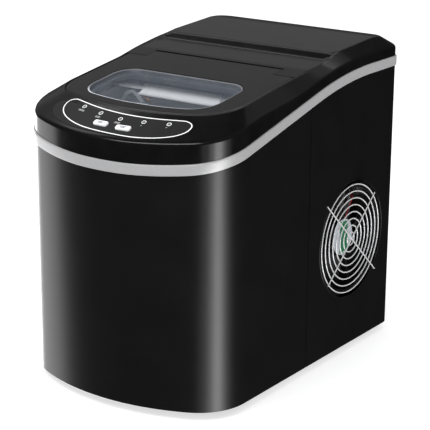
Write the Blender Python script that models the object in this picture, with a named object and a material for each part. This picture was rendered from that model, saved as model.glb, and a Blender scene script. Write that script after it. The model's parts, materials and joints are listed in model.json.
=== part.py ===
"""Countertop ice maker: a wrapped steel cabinet with a sloping hinged lid, a bin with a basket,
a tilting water tray under a fingered evaporator, and a compressor, condenser and fan at the rear.

Metres, +Z up.  The front of the cabinet looks along -Y, the fan is on the +X side, and the origin
is on the table under the middle of the cabinet.  Sizes below are in millimetres and are multiplied
by MM where a mesh is made.
"""

import math

import bmesh
import bpy
from mathutils import Matrix, Vector

MM = 0.001
GAP = 0.3                       # clearance between pieces that touch on the real machine

# Cabinet plan: straight sides and back, a bowed front with large round corners.
HALF_WIDTH = 121.0
FRONT = -179.0
BACK = 179.0
FRONT_BOW = 38.0
FRONT_CORNER = 55.0
BACK_CORNER = 15.0
BODY = (HALF_WIDTH, FRONT, FRONT_BOW, FRONT_CORNER, BACK, BACK_CORNER)

# Plan of the top surface inside the shoulders: the lid and the rear deck fill it.
DECK = (104.0, -139.5, 22.0, 42.0, 171.0, 12.0)
DECK_TOP = ((-140.0, 291.0), (23.0, 314.0), (60.0, 317.0), (68.0, 323.0), (150.0, 328.0), (171.0, 326.5))
SIDE_ROWS = (-76.0, -50.0, -25.0, 0.0, 12.0, 18.0, 22.9, 23.5, 30.0, 60.0, 68.0, 75.0, 82.0, 115.0, 150.0)

FLOOR_CLEARANCE = 8.0           # height of the rubber feet
SKIN = 1.0                      # sheet of the wrapped cabinet
PANEL_SPLIT = 4.0               # the front and rear wraps meet on this line of each side

# The trim band rises along the sides: a straight slope with a rounded start and end.
BAND_FRONT_LOW = 239.4
BAND_SLOPE = 0.2347
BAND_ROWS = (-180.0, -176.0, 15.0, 120.0)
BAND_HEIGHT_FRONT = 10.6
BAND_HEIGHT_BACK = 10.3
BAND_PROUD = 1.5

# Lid.
LID_THICK = 4.6
LID_RECESS = 6.0
HINGE_Y = 13.0
HINGE_Z = 309.3
BARREL_RADIUS = 3.2
BARREL_GAP = 0.6                # room between the lid's barrel and the housing
TONGUE_HALF = 79.0
NOTCH_FRONT = -3.0              # rear edge of the lid outside the hinge barrel
NOTCH_GAP = 1.0                 # room for that edge to swing up past the housing
WINDOW = (78.0, -124.0, 12.0, 30.0, -38.0, 22.0)
WINDOW_DISH = 13.0

# Bin.
TANK_HALF = 92.0
TANK_FRONT = -136.0
TANK_CORNER = 40.0
TANK_BACK = 26.0
TANK_FLOOR = 58.0
TANK_WALL = 2.5

DRAIN = (60.0, -60.0)
PIPE_HOLES = ((-64.0, 281.0), (-71.5, 291.5))

# Half-round water tray that turns about its own axis, and the evaporator inside it.
TRAY_Y = -13.0
TRAY_Z = 262.0
TRAY_HALF = 60.0
TRAY_RADIUS = 34.0
TRAY_WALL = 2.0
FINGER_RADIUS = 6.0
FINGER_PITCH = 21.0
FINGER_TIP = 238.0

# Paddle in front of the tray, and the basket in front of the paddle.
PADDLE_Y = -52.5
PADDLE_Z = 270.0
BASKET_LOW = (-80.0, -131.0, 110.0)
BASKET_HIGH = (80.0, -58.0, 228.0)
BASKET_CORNER = 30.0

# Curved white shield over the paddle, seen through the window.
SHIELD_LOW = (-57.0, 284.5)
SHIELD_TOP = (-46.0, 293.0)
SHIELD_THICK = 1.5
SHIELD_HALF = 48.0
SHIELD_ARM_END = 89.2

# Pump and compressor centres, x and y.
PUMP = (-70.0, 0.0)
COMPRESSOR = (-52.0, 116.0)

# Fan: its centre is y and z, and the rest are distances along x.
FAN_CENTRE = (88.0, 125.3)
FAN_FRAME_X = (96.0, 119.2)
FAN_HUB_X = (107.2, 110.2)
FAN_ROTOR_X = (96.5, 106.1)
FAN_BLADE_X = 100.5
GUARD_RADIUS = 58.0
GUARD_PITCH = 7.3
GUARD_RINGS = 8
FAN_HOLE_RADIUS = 62.5
GUARD_SECTORS = 24

# Control panel: x in millimetres, s as a share of the front slope from the crease to the lid.
BUTTON_SPOTS = ((-9.0, 0.40), (18.0, 0.37))
BUTTON_HOLE = (19.8, 8.8)
LAMP_SPOTS = ((-44.0, 0.77), (-19.0, 0.705), (7.0, 0.64), (33.0, 0.64), (59.0, 0.633))
LAMP_HOLE = (3.8, 3.79)
BOARD_S = 0.42
OVERLAY_CENTRE = 0.06           # middle of the overlay as a share of the front arc
OVERLAY_HALF = 0.91             # share of the front arc that it covers each way from there
OVERLAY_MIDDLE = 0.50
OVERLAY_TILT = -0.09
OVERLAY_SPAN = 0.38
OVERLAY_THICK = 0.8

COLOURS = {
    "gloss_black_steel": ((0.012, 0.012, 0.013), 0.22, 0.0),
    "black_plastic": ((0.030, 0.030, 0.032), 0.35, 0.0),
    "silver_trim": ((0.62, 0.62, 0.63), 0.32, 0.9),
    "smoky_clear": ((0.55, 0.60, 0.66), 0.08, 0.0),
    "white_plastic": ((0.82, 0.83, 0.84), 0.45, 0.0),
    "grey_plastic": ((0.45, 0.47, 0.49), 0.5, 0.0),
    "rubber": ((0.02, 0.02, 0.02), 0.8, 0.0),
    "steel": ((0.60, 0.60, 0.61), 0.3, 1.0),
    "copper": ((0.72, 0.38, 0.22), 0.3, 1.0),
    "board_green": ((0.02, 0.22, 0.08), 0.5, 0.0),
    "foam": ((0.75, 0.73, 0.66), 0.9, 0.0),
    "lamp": ((0.75, 0.80, 0.75), 0.3, 0.0),
}


def clear_scene():
    for obj in list(bpy.data.objects):
        bpy.data.objects.remove(obj, do_unlink=True)


def make_materials():
    made = {}
    for name, (colour, roughness, metallic) in COLOURS.items():
        material = bpy.data.materials.new(name)
        material.use_nodes = True
        shader = material.node_tree.nodes["Principled BSDF"]
        shader.inputs["Base Color"].default_value = (*colour, 1.0)
        shader.inputs["Roughness"].default_value = roughness
        shader.inputs["Metallic"].default_value = metallic
        made[name] = material
    return made


# ---------------------------------------------------------------- curves and outlines

def plan(shape, inset=0.0, back=None):
    """Points (x, y) of a bowed-front outline, anticlockwise from the front centre.

    The list is mirror symmetric, so point k and point -k lie at the same y.
    """
    half, front, bow, corner, rear, rear_corner = shape
    if back is not None:
        rear = back + inset
        rear_corner = inset + 0.4
    radius = (half * half + bow * bow) / (2.0 * bow)
    arc_y = front + radius
    corner_x = half - corner
    corner_y = arc_y - math.sqrt((radius - corner) ** 2 - corner_x ** 2)
    turn = math.atan2(corner_x, arc_y - corner_y)
    points = []
    for i in range(10):
        a = turn * i / 9.0
        points.append(((radius - inset) * math.sin(a), arc_y - (radius - inset) * math.cos(a)))
    for i in range(1, 7):
        a = turn + (math.pi / 2.0 - turn) * i / 6.0
        reach = corner - inset
        points.append((corner_x + reach * math.sin(a), corner_y - reach * math.cos(a)))
    last = rear - rear_corner
    for y in SIDE_ROWS:
        if corner_y + 1.0 < y < last - 0.5:
            points.append((half - inset, y))
    for i in range(5):
        a = math.pi / 2.0 * i / 4.0
        x = half - rear_corner + (rear_corner - inset) * math.cos(a)
        points.append((x, last + (rear_corner - inset) * math.sin(a)))
    points.append((0.0, rear - inset))
    left = [(-x, y) for x, y in reversed(points[1:-1])]
    return points + left


def polyline_height(y, rows):
    if y <= rows[0][0]:
        return rows[0][1]
    for (y0, z0), (y1, z1) in zip(rows, rows[1:]):
        if y <= y1:
            return z0 + (z1 - z0) * (y - y0) / (y1 - y0)
    return rows[-1][1]


def deck_top(y):
    return polyline_height(y, DECK_TOP)


def band_low(y):
    y0, y1, y2, y3 = BAND_ROWS
    y = min(max(y, y0), y3)
    run = (min(y, y1) - y0) ** 2 / (2.0 * (y1 - y0))
    run += max(0.0, min(y, y2) - y1)
    over = max(0.0, y - y2)
    run += over - over * over / (2.0 * (y3 - y2))
    return BAND_FRONT_LOW + BAND_SLOPE * run


def band_high(y):
    t = min(max((y - FRONT) / 280.0, 0.0), 1.0)
    return band_low(y) + BAND_HEIGHT_FRONT + (BAND_HEIGHT_BACK - BAND_HEIGHT_FRONT) * t


def wrap_top(y):
    """The wrapped sheet and the top housing meet behind the middle of the band."""
    return 0.5 * (band_low(y) + band_high(y))


def crease(y):
    """Height of the fold where the skirt meets the shoulder, higher towards the front."""
    t = min(max((-20.0 - y) / 100.0, 0.0), 1.0)
    nose = min(max((-125.0 - y) / 54.0, 0.0), 1.0)
    return band_high(y) + 10.1 + 8.3 * t * t * (3.0 - 2.0 * t) + 2.7 * nose


def at_height(outline, height):
    """Lift an outline to a height, which is a number or a function of y."""
    if callable(height):
        return [(x, y, height(y)) for x, y in outline]
    return [(x, y, height) for x, y in outline]


def rounded_box_plan(x0, y0, x1, y1, radius, steps=4):
    points = []
    corners = ((x1 - radius, y0 + radius, -90), (x1 - radius, y1 - radius, 0),
               (x0 + radius, y1 - radius, 90), (x0 + radius, y0 + radius, 180))
    for cx, cy, start in corners:
        for i in range(steps + 1):
            a = math.radians(start + 90.0 * i / steps)
            points.append((cx + radius * math.cos(a), cy + radius * math.sin(a)))
    return points


# ---------------------------------------------------------------- mesh builders

class Builder:
    """Makes the objects and keeps the materials at hand."""

    def __init__(self):
        self.materials = make_materials()

    def finish(self, name, mesh_data, material, origin=(0.0, 0.0, 0.0), angle=35.0, frame=None):
        """Turn a bmesh in millimetres into an object whose origin is at the given point."""
        bmesh.ops.recalc_face_normals(mesh_data, faces=mesh_data.faces[:])
        if frame is None:
            frame = Matrix.Translation(Vector(origin))
            bmesh.ops.translate(mesh_data, verts=mesh_data.verts[:], vec=-Vector(origin))
        bmesh.ops.scale(mesh_data, verts=mesh_data.verts[:], vec=(MM, MM, MM))
        mesh = bpy.data.meshes.new(name)
        mesh_data.to_mesh(mesh)
        mesh_data.free()
        obj = bpy.data.objects.new(name, mesh)
        bpy.context.collection.objects.link(obj)
        if material:
            mesh.materials.append(self.materials[material])
        mesh.shade_smooth()
        mesh.set_sharp_from_angle(angle=math.radians(angle))
        obj.location = frame.translation * MM
        obj.rotation_mode = 'QUATERNION'
        obj.rotation_quaternion = frame.to_quaternion()
        return obj

    def loft(self, name, rings, material, caps="strip", origin=(0.0, 0.0, 0.0), frame=None):
        """Closed solid through rings of equal length.

        A "strip" cap joins point k to point -k, so that it follows a height that depends on y alone.
        """
        data = bmesh.new()
        rows = [[data.verts.new(p) for p in ring] for ring in rings]
        count = len(rows[0])
        for low, high in zip(rows, rows[1:]):
            for k in range(count):
                n = (k + 1) % count
                data.faces.new((low[k], low[n], high[n], high[k]))
        for row in (rows[0], rows[-1]):
            if caps == "flat":
                data.faces.new(row)
                continue
            half = count // 2
            data.faces.new((row[0], row[1], row[2], row[-2], row[-1]))
            for k in range(2, half - 2):
                data.faces.new((row[k], row[k + 1], row[-k - 1], row[-k]))
            data.faces.new(row[half - 2:half + 3])
        return self.finish(name, data, material, origin, frame=frame)

    def wall(self, name, outer, inner, low, high, material, closed=True):
        """Thin upright wall between two paths, its foot and its top following functions of y."""
        data = bmesh.new()
        sets = []
        for path, height in ((outer, low), (outer, high), (inner, high), (inner, low)):
            sets.append([data.verts.new(p) for p in at_height(path, height)])
        count = len(outer)
        last = count if closed else count - 1
        for k in range(last):
            n = (k + 1) % count
            for a, b in zip(sets, sets[1:] + sets[:1]):
                data.faces.new((a[k], a[n], b[n], b[k]))
        if not closed:
            data.faces.new([s[0] for s in sets])
            data.faces.new([s[-1] for s in sets])
        return self.finish(name, data, material)

    def box(self, name, low, high, material, origin=None, bevel=0.0, frame=None):
        return self.boxes(name, [(low, high)], material, origin, bevel, frame)

    def boxes(self, name, pairs, material, origin=None, bevel=0.0, frame=None):
        """One mesh of separate boxes, used alone as a piece or in a group as a cutter."""
        data = bmesh.new()
        for low, high in pairs:
            made = bmesh.ops.create_cube(data, size=1.0)["verts"]
            size = Vector(high) - Vector(low)
            bmesh.ops.scale(data, verts=made, vec=size)
            bmesh.ops.translate(data, verts=made, vec=(Vector(low) + Vector(high)) / 2.0)
        if bevel:
            bmesh.ops.bevel(data, geom=data.edges[:], offset=bevel, segments=2, profile=0.5, affect='EDGES')
        first = pairs[0]
        middle = (Vector(first[0]) + Vector(first[1])) / 2.0
        return self.finish(name, data, material, middle if origin is None else origin, frame=frame)

    def turned(self, name, profile, centre, axis, material, sides=24, origin=None):
        """Solid of revolution; profile is (radius, distance along the axis).

        The profile's ends lie on the axis, or it is the closed section of a ring.
        """
        data = bmesh.new()
        turn = Vector((0.0, 0.0, 1.0)).rotation_difference(Vector(axis)).to_matrix()
        centre = Vector(centre)
        rows = []
        for radius, along in profile:
            if radius == 0.0:
                rows.append([data.verts.new(centre + turn @ Vector((0.0, 0.0, along)))])
                continue
            row = []
            for i in range(sides):
                a = 2.0 * math.pi * i / sides
                spot = Vector((radius * math.cos(a), radius * math.sin(a), along))
                row.append(data.verts.new(centre + turn @ spot))
            rows.append(row)
        following = rows[1:] if profile[0][0] == 0.0 else rows[1:] + rows[:1]
        for low, high in zip(rows, following):
            for k in range(sides):
                n = (k + 1) % sides
                corners = [low[k % len(low)], low[n % len(low)], high[n % len(high)], high[k % len(high)]]
                data.faces.new(list(dict.fromkeys(corners)))
        return self.finish(name, data, material, centre if origin is None else origin)

    def rod(self, name, start, end, radius, material, sides=16, origin=None):
        direction = Vector(end) - Vector(start)
        profile = ((0.0, 0.0), (radius, 0.0), (radius, direction.length), (0.0, direction.length))
        return self.turned(name, profile, start, direction.normalized(), material, sides, origin)

    def prism(self, name, outline, low, high, material, origin=(0.0, 0.0, 0.0), frame=None):
        rings = [[(x, y, low) for x, y in outline], [(x, y, high) for x, y in outline]]
        return self.loft(name, rings, material, "flat", origin, frame)

    def pipe(self, name, knots, radius, material):
        """Round tube along a smooth curve through the knots."""
        curve = bpy.data.curves.new(name, 'CURVE')
        curve.dimensions = '3D'
        curve.bevel_depth = radius * MM
        curve.bevel_resolution = 2
        curve.use_fill_caps = True
        points = smooth_path(knots, max(8.0, 3.0 * radius))
        spline = curve.splines.new('POLY')
        spline.points.add(len(points) - 1)
        for point, place in zip(spline.points, points):
            point.co = (*(place * MM), 1.0)
        curve.materials.append(self.materials[material])
        obj = bpy.data.objects.new(name, curve)
        bpy.context.collection.objects.link(obj)
        return obj

    def cutter(self, obj):
        obj.hide_render = True
        obj.display_type = 'WIRE'
        return obj

    def carve(self, target, tool, operation='DIFFERENCE'):
        self.cutter(tool)
        modifier = target.modifiers.new(tool.name, 'BOOLEAN')
        modifier.operation = operation
        modifier.solver = 'EXACT'
        modifier.object = tool
        return target


def smooth_path(knots, spacing):
    """Evenly spaced points on a Catmull-Rom curve through the knots."""
    knots = [Vector(k) for k in knots]
    ends = [2.0 * knots[0] - knots[1]] + knots + [2.0 * knots[-1] - knots[-2]]
    fine = []
    for i in range(1, len(ends) - 2):
        p0, p1, p2, p3 = ends[i - 1:i + 3]
        for step in range(20):
            t = step / 20.0
            fine.append(0.5 * (2.0 * p1 + (p2 - p0) * t + (2.0 * p0 - 5.0 * p1 + 4.0 * p2 - p3) * t * t
                               + (3.0 * p1 - p0 - 3.0 * p2 + p3) * t ** 3))
    fine.append(knots[-1])
    total = sum((b - a).length for a, b in zip(fine, fine[1:]))
    count = max(2, int(total / spacing))
    points = [fine[0]]
    travelled = 0.0
    wanted = total / count
    for a, b in zip(fine, fine[1:]):
        travelled += (b - a).length
        if travelled >= wanted * len(points) and len(points) < count:
            points.append(b)
    points.append(fine[-1])
    return points


# ---------------------------------------------------------------- front slope, where the panel is

def front_arc(shape, t):
    half, front, bow, corner = shape[:4]
    radius = (half * half + bow * bow) / (2.0 * bow)
    arc_y = front + radius
    corner_x = half - corner
    corner_y = arc_y - math.sqrt((radius - corner) ** 2 - corner_x ** 2)
    a = math.atan2(corner_x, arc_y - corner_y) * t
    return radius * math.sin(a), arc_y - radius * math.cos(a)


def slope_point(t, s):
    """Point of the front slope: t runs along the front from -1 to 1, s from the crease up to the lid."""
    ax, ay = front_arc(BODY, t)
    bx, by = front_arc(DECK, t)
    low = Vector((ax, ay, crease(ay)))
    high = Vector((bx, by, deck_top(by)))
    return low.lerp(high, s)


def slope_frame(x, s):
    """Frame on the front slope at a distance x from the middle: X along the front, Z outwards."""
    t = x / ((1.0 - s) * slope_point(0.5, 0.0).x * 2.0 + s * slope_point(0.5, 1.0).x * 2.0)
    place = slope_point(t, s)
    along = (slope_point(t + 0.02, s) - slope_point(t - 0.02, s)).normalized()
    up = (slope_point(t, s + 0.02) - slope_point(t, s - 0.02)).normalized()
    out = along.cross(up).normalized()
    up = out.cross(along)
    frame = Matrix((along, up, out)).transposed().to_4x4()
    frame.translation = place
    return frame


def capsule_plan(length, width, steps=4):
    points = []
    for side in (1.0, -1.0):
        for i in range(steps + 1):
            a = math.radians(-90.0 + 180.0 * i / steps)
            x = side * (length / 2.0 - width / 2.0 + width / 2.0 * math.cos(a))
            points.append((x, side * width / 2.0 * math.sin(a)))
    return points


# ---------------------------------------------------------------- cabinet

def make_base(b):
    outer = plan(BODY, SKIN + GAP)
    inner = plan(BODY, SKIN + GAP + 2.5)
    rings = [at_height(inner, 10.5), at_height(inner, 20.0), at_height(outer, 20.0), at_height(outer, 8.0)]
    base = b.loft("base_pan", rings, "black_plastic", "flat")
    b.carve(base, b.rod("drain_bore_cut", (*DRAIN, 0.0), (*DRAIN, 30.0), 9.0, None))
    for x in (-92.0, 92.0):
        for y in (-118.0, 140.0):
            side = "left" if x < 0.0 else "right"
            end = "front" if y < 0.0 else "rear"
            profile = ((0.0, 0.0), (11.5, 0.0), (13.0, 2.0), (13.0, 7.7), (0.0, 7.7))
            b.turned(f"foot_{end}_{side}", profile, (x, y, 0.0), (0, 0, 1), "rubber", 20)


def wrap_paths(front_part, inset):
    """Outline of the wrap in front of the split line, or behind it, from the +X side to the -X side."""
    outline = plan(BODY, inset)
    half = len(outline) // 2
    side = HALF_WIDTH - inset
    if front_part:
        right = [p for p in outline[:half] if p[1] < PANEL_SPLIT - 1.0]
        left = [p for p in outline[half:] if p[1] < PANEL_SPLIT - 1.0]
        edge = PANEL_SPLIT - GAP
        return [(side, edge)] + right[::-1] + left[::-1] + [(-side, edge)]
    rear = [p for p in outline if p[1] > PANEL_SPLIT + 1.0]
    return [(side, PANEL_SPLIT)] + rear + [(-side, PANEL_SPLIT)]


def make_wraps(b):
    def foot(_):
        return FLOOR_CLEARANCE
    b.wall("front_wrap", wrap_paths(True, 0.0), wrap_paths(True, SKIN), foot, wrap_top,
           "gloss_black_steel", closed=False)
    rear = b.wall("rear_wrap", wrap_paths(False, 0.0), wrap_paths(False, SKIN), foot, wrap_top,
                  "gloss_black_steel", closed=False)
    y, z = FAN_CENTRE
    b.carve(rear, b.rod("fan_hole_cut", (100.0, y, z), (140.0, y, z), FAN_HOLE_RADIUS, None, 36))
    slots = []
    for row in range(9):
        low = 66.0 + 12.0 * row
        slots.append(((-140.0, 55.0, low), (-110.0, 125.0, low + 4.0)))
        slots.append(((-60.0, 170.0, low), (60.0, 190.0, low + 4.0)))
    b.carve(rear, b.boxes("louvre_cut", slots, None))
    b.carve(rear, b.rod("cord_hole_cut", (-80.0, 160.0, 40.0), (-80.0, 190.0, 40.0), 7.0, None, 20))
    for index, (x, z) in enumerate(((-100.0, 60.0), (100.0, 60.0), (-100.0, 230.0), (100.0, 230.0)), 1):
        profile = ((0.0, 0.0), (3.2, 0.0), (2.6, 0.9), (0.0, 1.1))
        b.turned(f"rear_screw_{index}", profile, (x, BACK + GAP, z), (0, 1, 0), "steel", 12)


def make_band(b):
    b.wall("trim_band", plan(BODY, -BAND_PROUD), plan(BODY, -GAP), band_low, band_high, "silver_trim")


def make_gland(b):
    profile = ((0.0, 0.0), (6.6, 0.0), (6.6, 16.2), (9.5, 16.2), (9.5, 17.4), (3.6, 17.4), (3.6, 6.0),
               (0.0, 6.0))
    b.turned("cord_gland", profile, (-80.0, 163.1, 40.0), (0, 1, 0), "rubber", 20)


# ---------------------------------------------------------------- top housing and lid

def housing_depth(y):
    return 12.0 if y < 30.0 else 3.0


def make_top_housing(b):
    outer = plan(BODY)
    inner = plan(BODY, 3.0)
    edge = plan(DECK)

    def foot(y):
        return wrap_top(y) + GAP

    def inner_crease(y):
        return crease(y) - 2.0

    def under_deck(y):
        return deck_top(y) - housing_depth(y)

    rings = [at_height(edge, deck_top), at_height(outer, crease), at_height(outer, foot),
             at_height(inner, foot), at_height(inner, inner_crease), at_height(edge, under_deck)]
    housing = b.loft("top_housing", rings, "black_plastic")

    recess_plan = plan(DECK, 0.6, back=HINGE_Y + BARREL_RADIUS + BARREL_GAP)
    recess = b.loft("lid_recess_cut", [at_height(recess_plan, lambda y: deck_top(y) - LID_RECESS),
                                       at_height(recess_plan, 345.0)], None)
    blocks = [((x0, NOTCH_FRONT + NOTCH_GAP, 280.0), (x1, 40.0, 350.0))
              for x0, x1 in ((-120.0, -TONGUE_HALF - 0.4), (TONGUE_HALF + 0.4, 120.0))]
    b.carve(recess, b.boxes("hinge_block_keep", blocks, None))
    b.carve(housing, recess)
    channel_low = HINGE_Z - BARREL_RADIUS - BARREL_GAP
    channel_back = HINGE_Y + BARREL_RADIUS + BARREL_GAP
    b.carve(housing, b.box("barrel_channel_cut", (-TONGUE_HALF - 0.4, HINGE_Y - BARREL_RADIUS - 0.9, channel_low),
                           (TONGUE_HALF + 0.4, channel_back, 345.0), None))
    mouth = rounded_box_plan(-86.0, -126.0, 86.0, 3.0, 20.0)
    b.carve(housing, b.prism("bin_mouth_cut", mouth, 250.0, 345.0, None))
    bore = b.rod("hinge_bore_cut", (-100.0, HINGE_Y, HINGE_Z), (100.0, HINGE_Y, HINGE_Z), 1.8, None, 12)
    b.carve(housing, bore)
    for index, (x, s) in enumerate(BUTTON_SPOTS):
        frame = slope_frame(x, s)
        b.carve(housing, b.prism(f"button_hole_cut_{index}", capsule_plan(*BUTTON_HOLE), -20.0, 12.0, None,
                                 frame=frame))
    for index, (x, s) in enumerate(LAMP_SPOTS):
        frame = slope_frame(x, s)
        b.carve(housing, b.prism(f"lamp_hole_cut_{index}", capsule_plan(*LAMP_HOLE), -20.0, 12.0, None,
                                 frame=frame))


def make_lid(b):
    hinge = (0.0, HINGE_Y, HINGE_Z)
    outline = plan(DECK, 1.0, back=HINGE_Y)
    lid = b.loft("lid_frame", [at_height(outline, lambda y: deck_top(y) - LID_THICK),
                               at_height(outline, deck_top)], "black_plastic", origin=hinge)
    b.carve(lid, b.rod("lid_barrel", (-TONGUE_HALF, HINGE_Y, HINGE_Z), (TONGUE_HALF, HINGE_Y, HINGE_Z),
                       BARREL_RADIUS, None, 24), 'UNION')
    ears = [((x0, NOTCH_FRONT, 280.0), (x1, 40.0, 350.0))
            for x0, x1 in ((-120.0, -TONGUE_HALF), (TONGUE_HALF, 120.0))]
    b.carve(lid, b.boxes("lid_ear_cut", ears, None))
    b.carve(lid, b.prism("window_hole_cut", plan(WINDOW), 250.0, 345.0, None))
    bores = [((x0, HINGE_Y, HINGE_Z), (x1, HINGE_Y, HINGE_Z)) for x0, x1 in ((-90.0, -68.0), (68.0, 90.0))]
    for index, (start, end) in enumerate(bores):
        b.carve(lid, b.rod(f"pin_bore_cut_{index}", start, end, 1.8, None, 12))

    def ring(inset, drop):
        return at_height(plan(WINDOW, inset), lambda y: deck_top(y) - drop)
    rings = [ring(16.0, WINDOW_DISH - 2.0), ring(2.3, 4.0), ring(2.3, 0.4), ring(GAP, 0.4), ring(GAP, 5.8),
             ring(15.0, WINDOW_DISH)]
    b.loft("lid_window", rings, "smoky_clear", origin=hinge)
    for side, x0, x1 in (("left", -97.0, -69.0), ("right", 69.0, 97.0)):
        b.rod(f"hinge_pin_{side}", (x0, HINGE_Y, HINGE_Z), (x1, HINGE_Y, HINGE_Z), 1.5, "steel", 12)


# ---------------------------------------------------------------- control panel

def make_overlay(b):
    """Thin overlay on the curved front slope, its outline a rounded ellipse in slope coordinates."""
    data = bmesh.new()
    columns = 20
    layers = []
    for lift in (GAP, GAP + OVERLAY_THICK):
        grid = []
        for i in range(columns + 1):
            share = math.sin(math.pi * (i / columns - 0.5))
            t = OVERLAY_CENTRE + OVERLAY_HALF * share
            half = OVERLAY_SPAN * max(0.0, 1.0 - abs(share) ** 3.2) ** 0.5
            middle = OVERLAY_MIDDLE + OVERLAY_TILT * share
            row = []
            for s in (middle - half, middle, middle + half):
                place = slope_point(t, s)
                along = slope_point(t + 0.01, s) - slope_point(t - 0.01, s)
                up = slope_point(t, s + 0.01) - slope_point(t, s - 0.01)
                row.append(place + along.cross(up).normalized() * lift)
            if i in (0, columns):
                row = [row[1]]
            grid.append([data.verts.new(p) for p in row])
        layers.append(grid)
    for grid in layers:
        for first, second in zip(grid, grid[1:]):
            for k in range(2):
                corners = [first[min(k, len(first) - 1)], second[min(k, len(second) - 1)],
                           second[min(k + 1, len(second) - 1)], first[min(k + 1, len(first) - 1)]]
                data.faces.new(list(dict.fromkeys(corners)))
    low, high = layers
    for side in (0, -1):
        for i in range(columns):
            corners = [low[i][side], low[i + 1][side], high[i + 1][side], high[i][side]]
            data.faces.new(list(dict.fromkeys(corners)))
    overlay = b.finish("panel_overlay", data, "black_plastic")
    for index, (x, s) in enumerate(BUTTON_SPOTS):
        b.carve(overlay, b.prism(f"overlay_button_cut_{index}", capsule_plan(*BUTTON_HOLE), -6.0, 8.0, None,
                                 frame=slope_frame(x, s)))
    for index, (x, s) in enumerate(LAMP_SPOTS):
        b.carve(overlay, b.prism(f"overlay_lamp_cut_{index}", capsule_plan(*LAMP_HOLE), -6.0, 8.0, None,
                                 frame=slope_frame(x, s)))


def make_controls(b):
    for name, (x, s) in zip(("power_button", "size_button"), BUTTON_SPOTS):
        frame = slope_frame(x, s)
        stem = capsule_plan(3.2, 3.1)
        cap = capsule_plan(19.0, 8.0)
        rings = [at_height(stem, -13.0), at_height(stem, -2.0), at_height(cap, -2.0), at_height(cap, 2.0),
                 at_height(capsule_plan(18.0, 7.0), 2.5)]
        b.loft(name, rings, "white_plastic", "flat", frame=frame)
    for index, (x, s) in enumerate(LAMP_SPOTS, 1):
        b.prism(f"indicator_lens_{index}", capsule_plan(3.2, 3.19), -7.0, 1.3, "lamp",
                frame=slope_frame(x, s))
    b.box("control_board", (-62.0, -10.5, -18.6), (62.0, 10.5, -17.0), "board_green", origin=(0, 0, 0),
          frame=slope_frame(0.0, BOARD_S))


# ---------------------------------------------------------------- bin

def tank_rim(y):
    return deck_top(y) - 13.5


def tank_plan(inset, radius=20.0):
    """Bin outline with rows of points along its sides, so that its rim can follow the deck."""
    half = TANK_HALF - inset
    front = TANK_FRONT + inset
    back = TANK_BACK - inset
    radius -= inset
    points = [(0.0, front)]
    for i in range(6):
        a = math.radians(90.0 * i / 5.0)
        turn = TANK_CORNER - inset
        points.append((half - turn + turn * math.sin(a), front + turn * (1.0 - math.cos(a))))
    points += [(half, -70.0), (half, -30.0)]
    for i in range(4):
        a = math.radians(90.0 * i / 3.0)
        points.append((half - radius + radius * math.cos(a), back - radius + radius * math.sin(a)))
    points.append((0.0, back))
    return points + [(-x, y) for x, y in reversed(points[1:-1])]


def make_tank(b):
    outer = tank_plan(0.0)
    inner = tank_plan(TANK_WALL)
    rings = [at_height(inner, TANK_FLOOR + TANK_WALL), at_height(inner, tank_rim),
             at_height(outer, tank_rim), at_height(outer, TANK_FLOOR)]
    tank = b.loft("inner_tank", rings, "white_plastic")
    b.carve(tank, b.rod("tank_drain_cut", (*DRAIN, 50.0), (*DRAIN, 70.0), 5.0, None, 16))
    for index, (x, z) in enumerate(PIPE_HOLES):
        b.carve(tank, b.rod(f"tank_pipe_cut_{index}", (x, 10.0, z), (x, 40.0, z), 5.0, None, 16))
    foam_outer = tank_plan(-9.0, 22.0)
    foam_inner = tank_plan(-GAP, 20.0)
    b.wall("tank_insulation", foam_outer, foam_inner, lambda y: TANK_FLOOR, lambda y: tank_rim(y) - 30.0,
           "foam")

    drain = ((3.8, 8.5), (6.0, 8.5), (6.0, 57.6), (3.8, 57.6))
    b.turned("drain_pipe", drain, (*DRAIN, 0.0), (0, 0, 1), "grey_plastic", 16)
    plug = ((0.0, 2.0), (3.2, 2.0), (8.0, 2.0), (8.0, 7.8), (3.4, 7.8), (3.4, 20.0), (0.0, 20.0))
    b.turned("drain_plug", plug, (*DRAIN, 0.0), (0, 0, 1), "grey_plastic", 16)


def make_basket(b):
    x0, y0, z0 = BASKET_LOW
    x1, y1, z1 = BASKET_HIGH
    wall = 2.0
    outer = rounded_box_plan(x0, y0, x1, y1, BASKET_CORNER, 5)
    inner = rounded_box_plan(x0 + wall, y0 + wall, x1 - wall, y1 - wall, BASKET_CORNER - wall, 5)
    rings = [at_height(inner, z0 + wall), at_height(inner, z1), at_height(outer, z1), at_height(outer, z0)]
    basket = b.loft("ice_basket", rings, "grey_plastic", "flat")
    slots = [((x - 3.0, -120.0, z0 - 5.0), (x + 3.0, -70.0, z0 + 5.0))
             for x in (-60.0, -36.0, -12.0, 12.0, 36.0, 60.0)]
    b.carve(basket, b.boxes("basket_slot_cut", slots, None))
    grip = b.box("basket_grip_cut", (-32.0, y0 - 5.0, z1 - 26.0), (32.0, y0 + 5.0, z1 - 10.0), None)
    b.carve(basket, grip)


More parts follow.
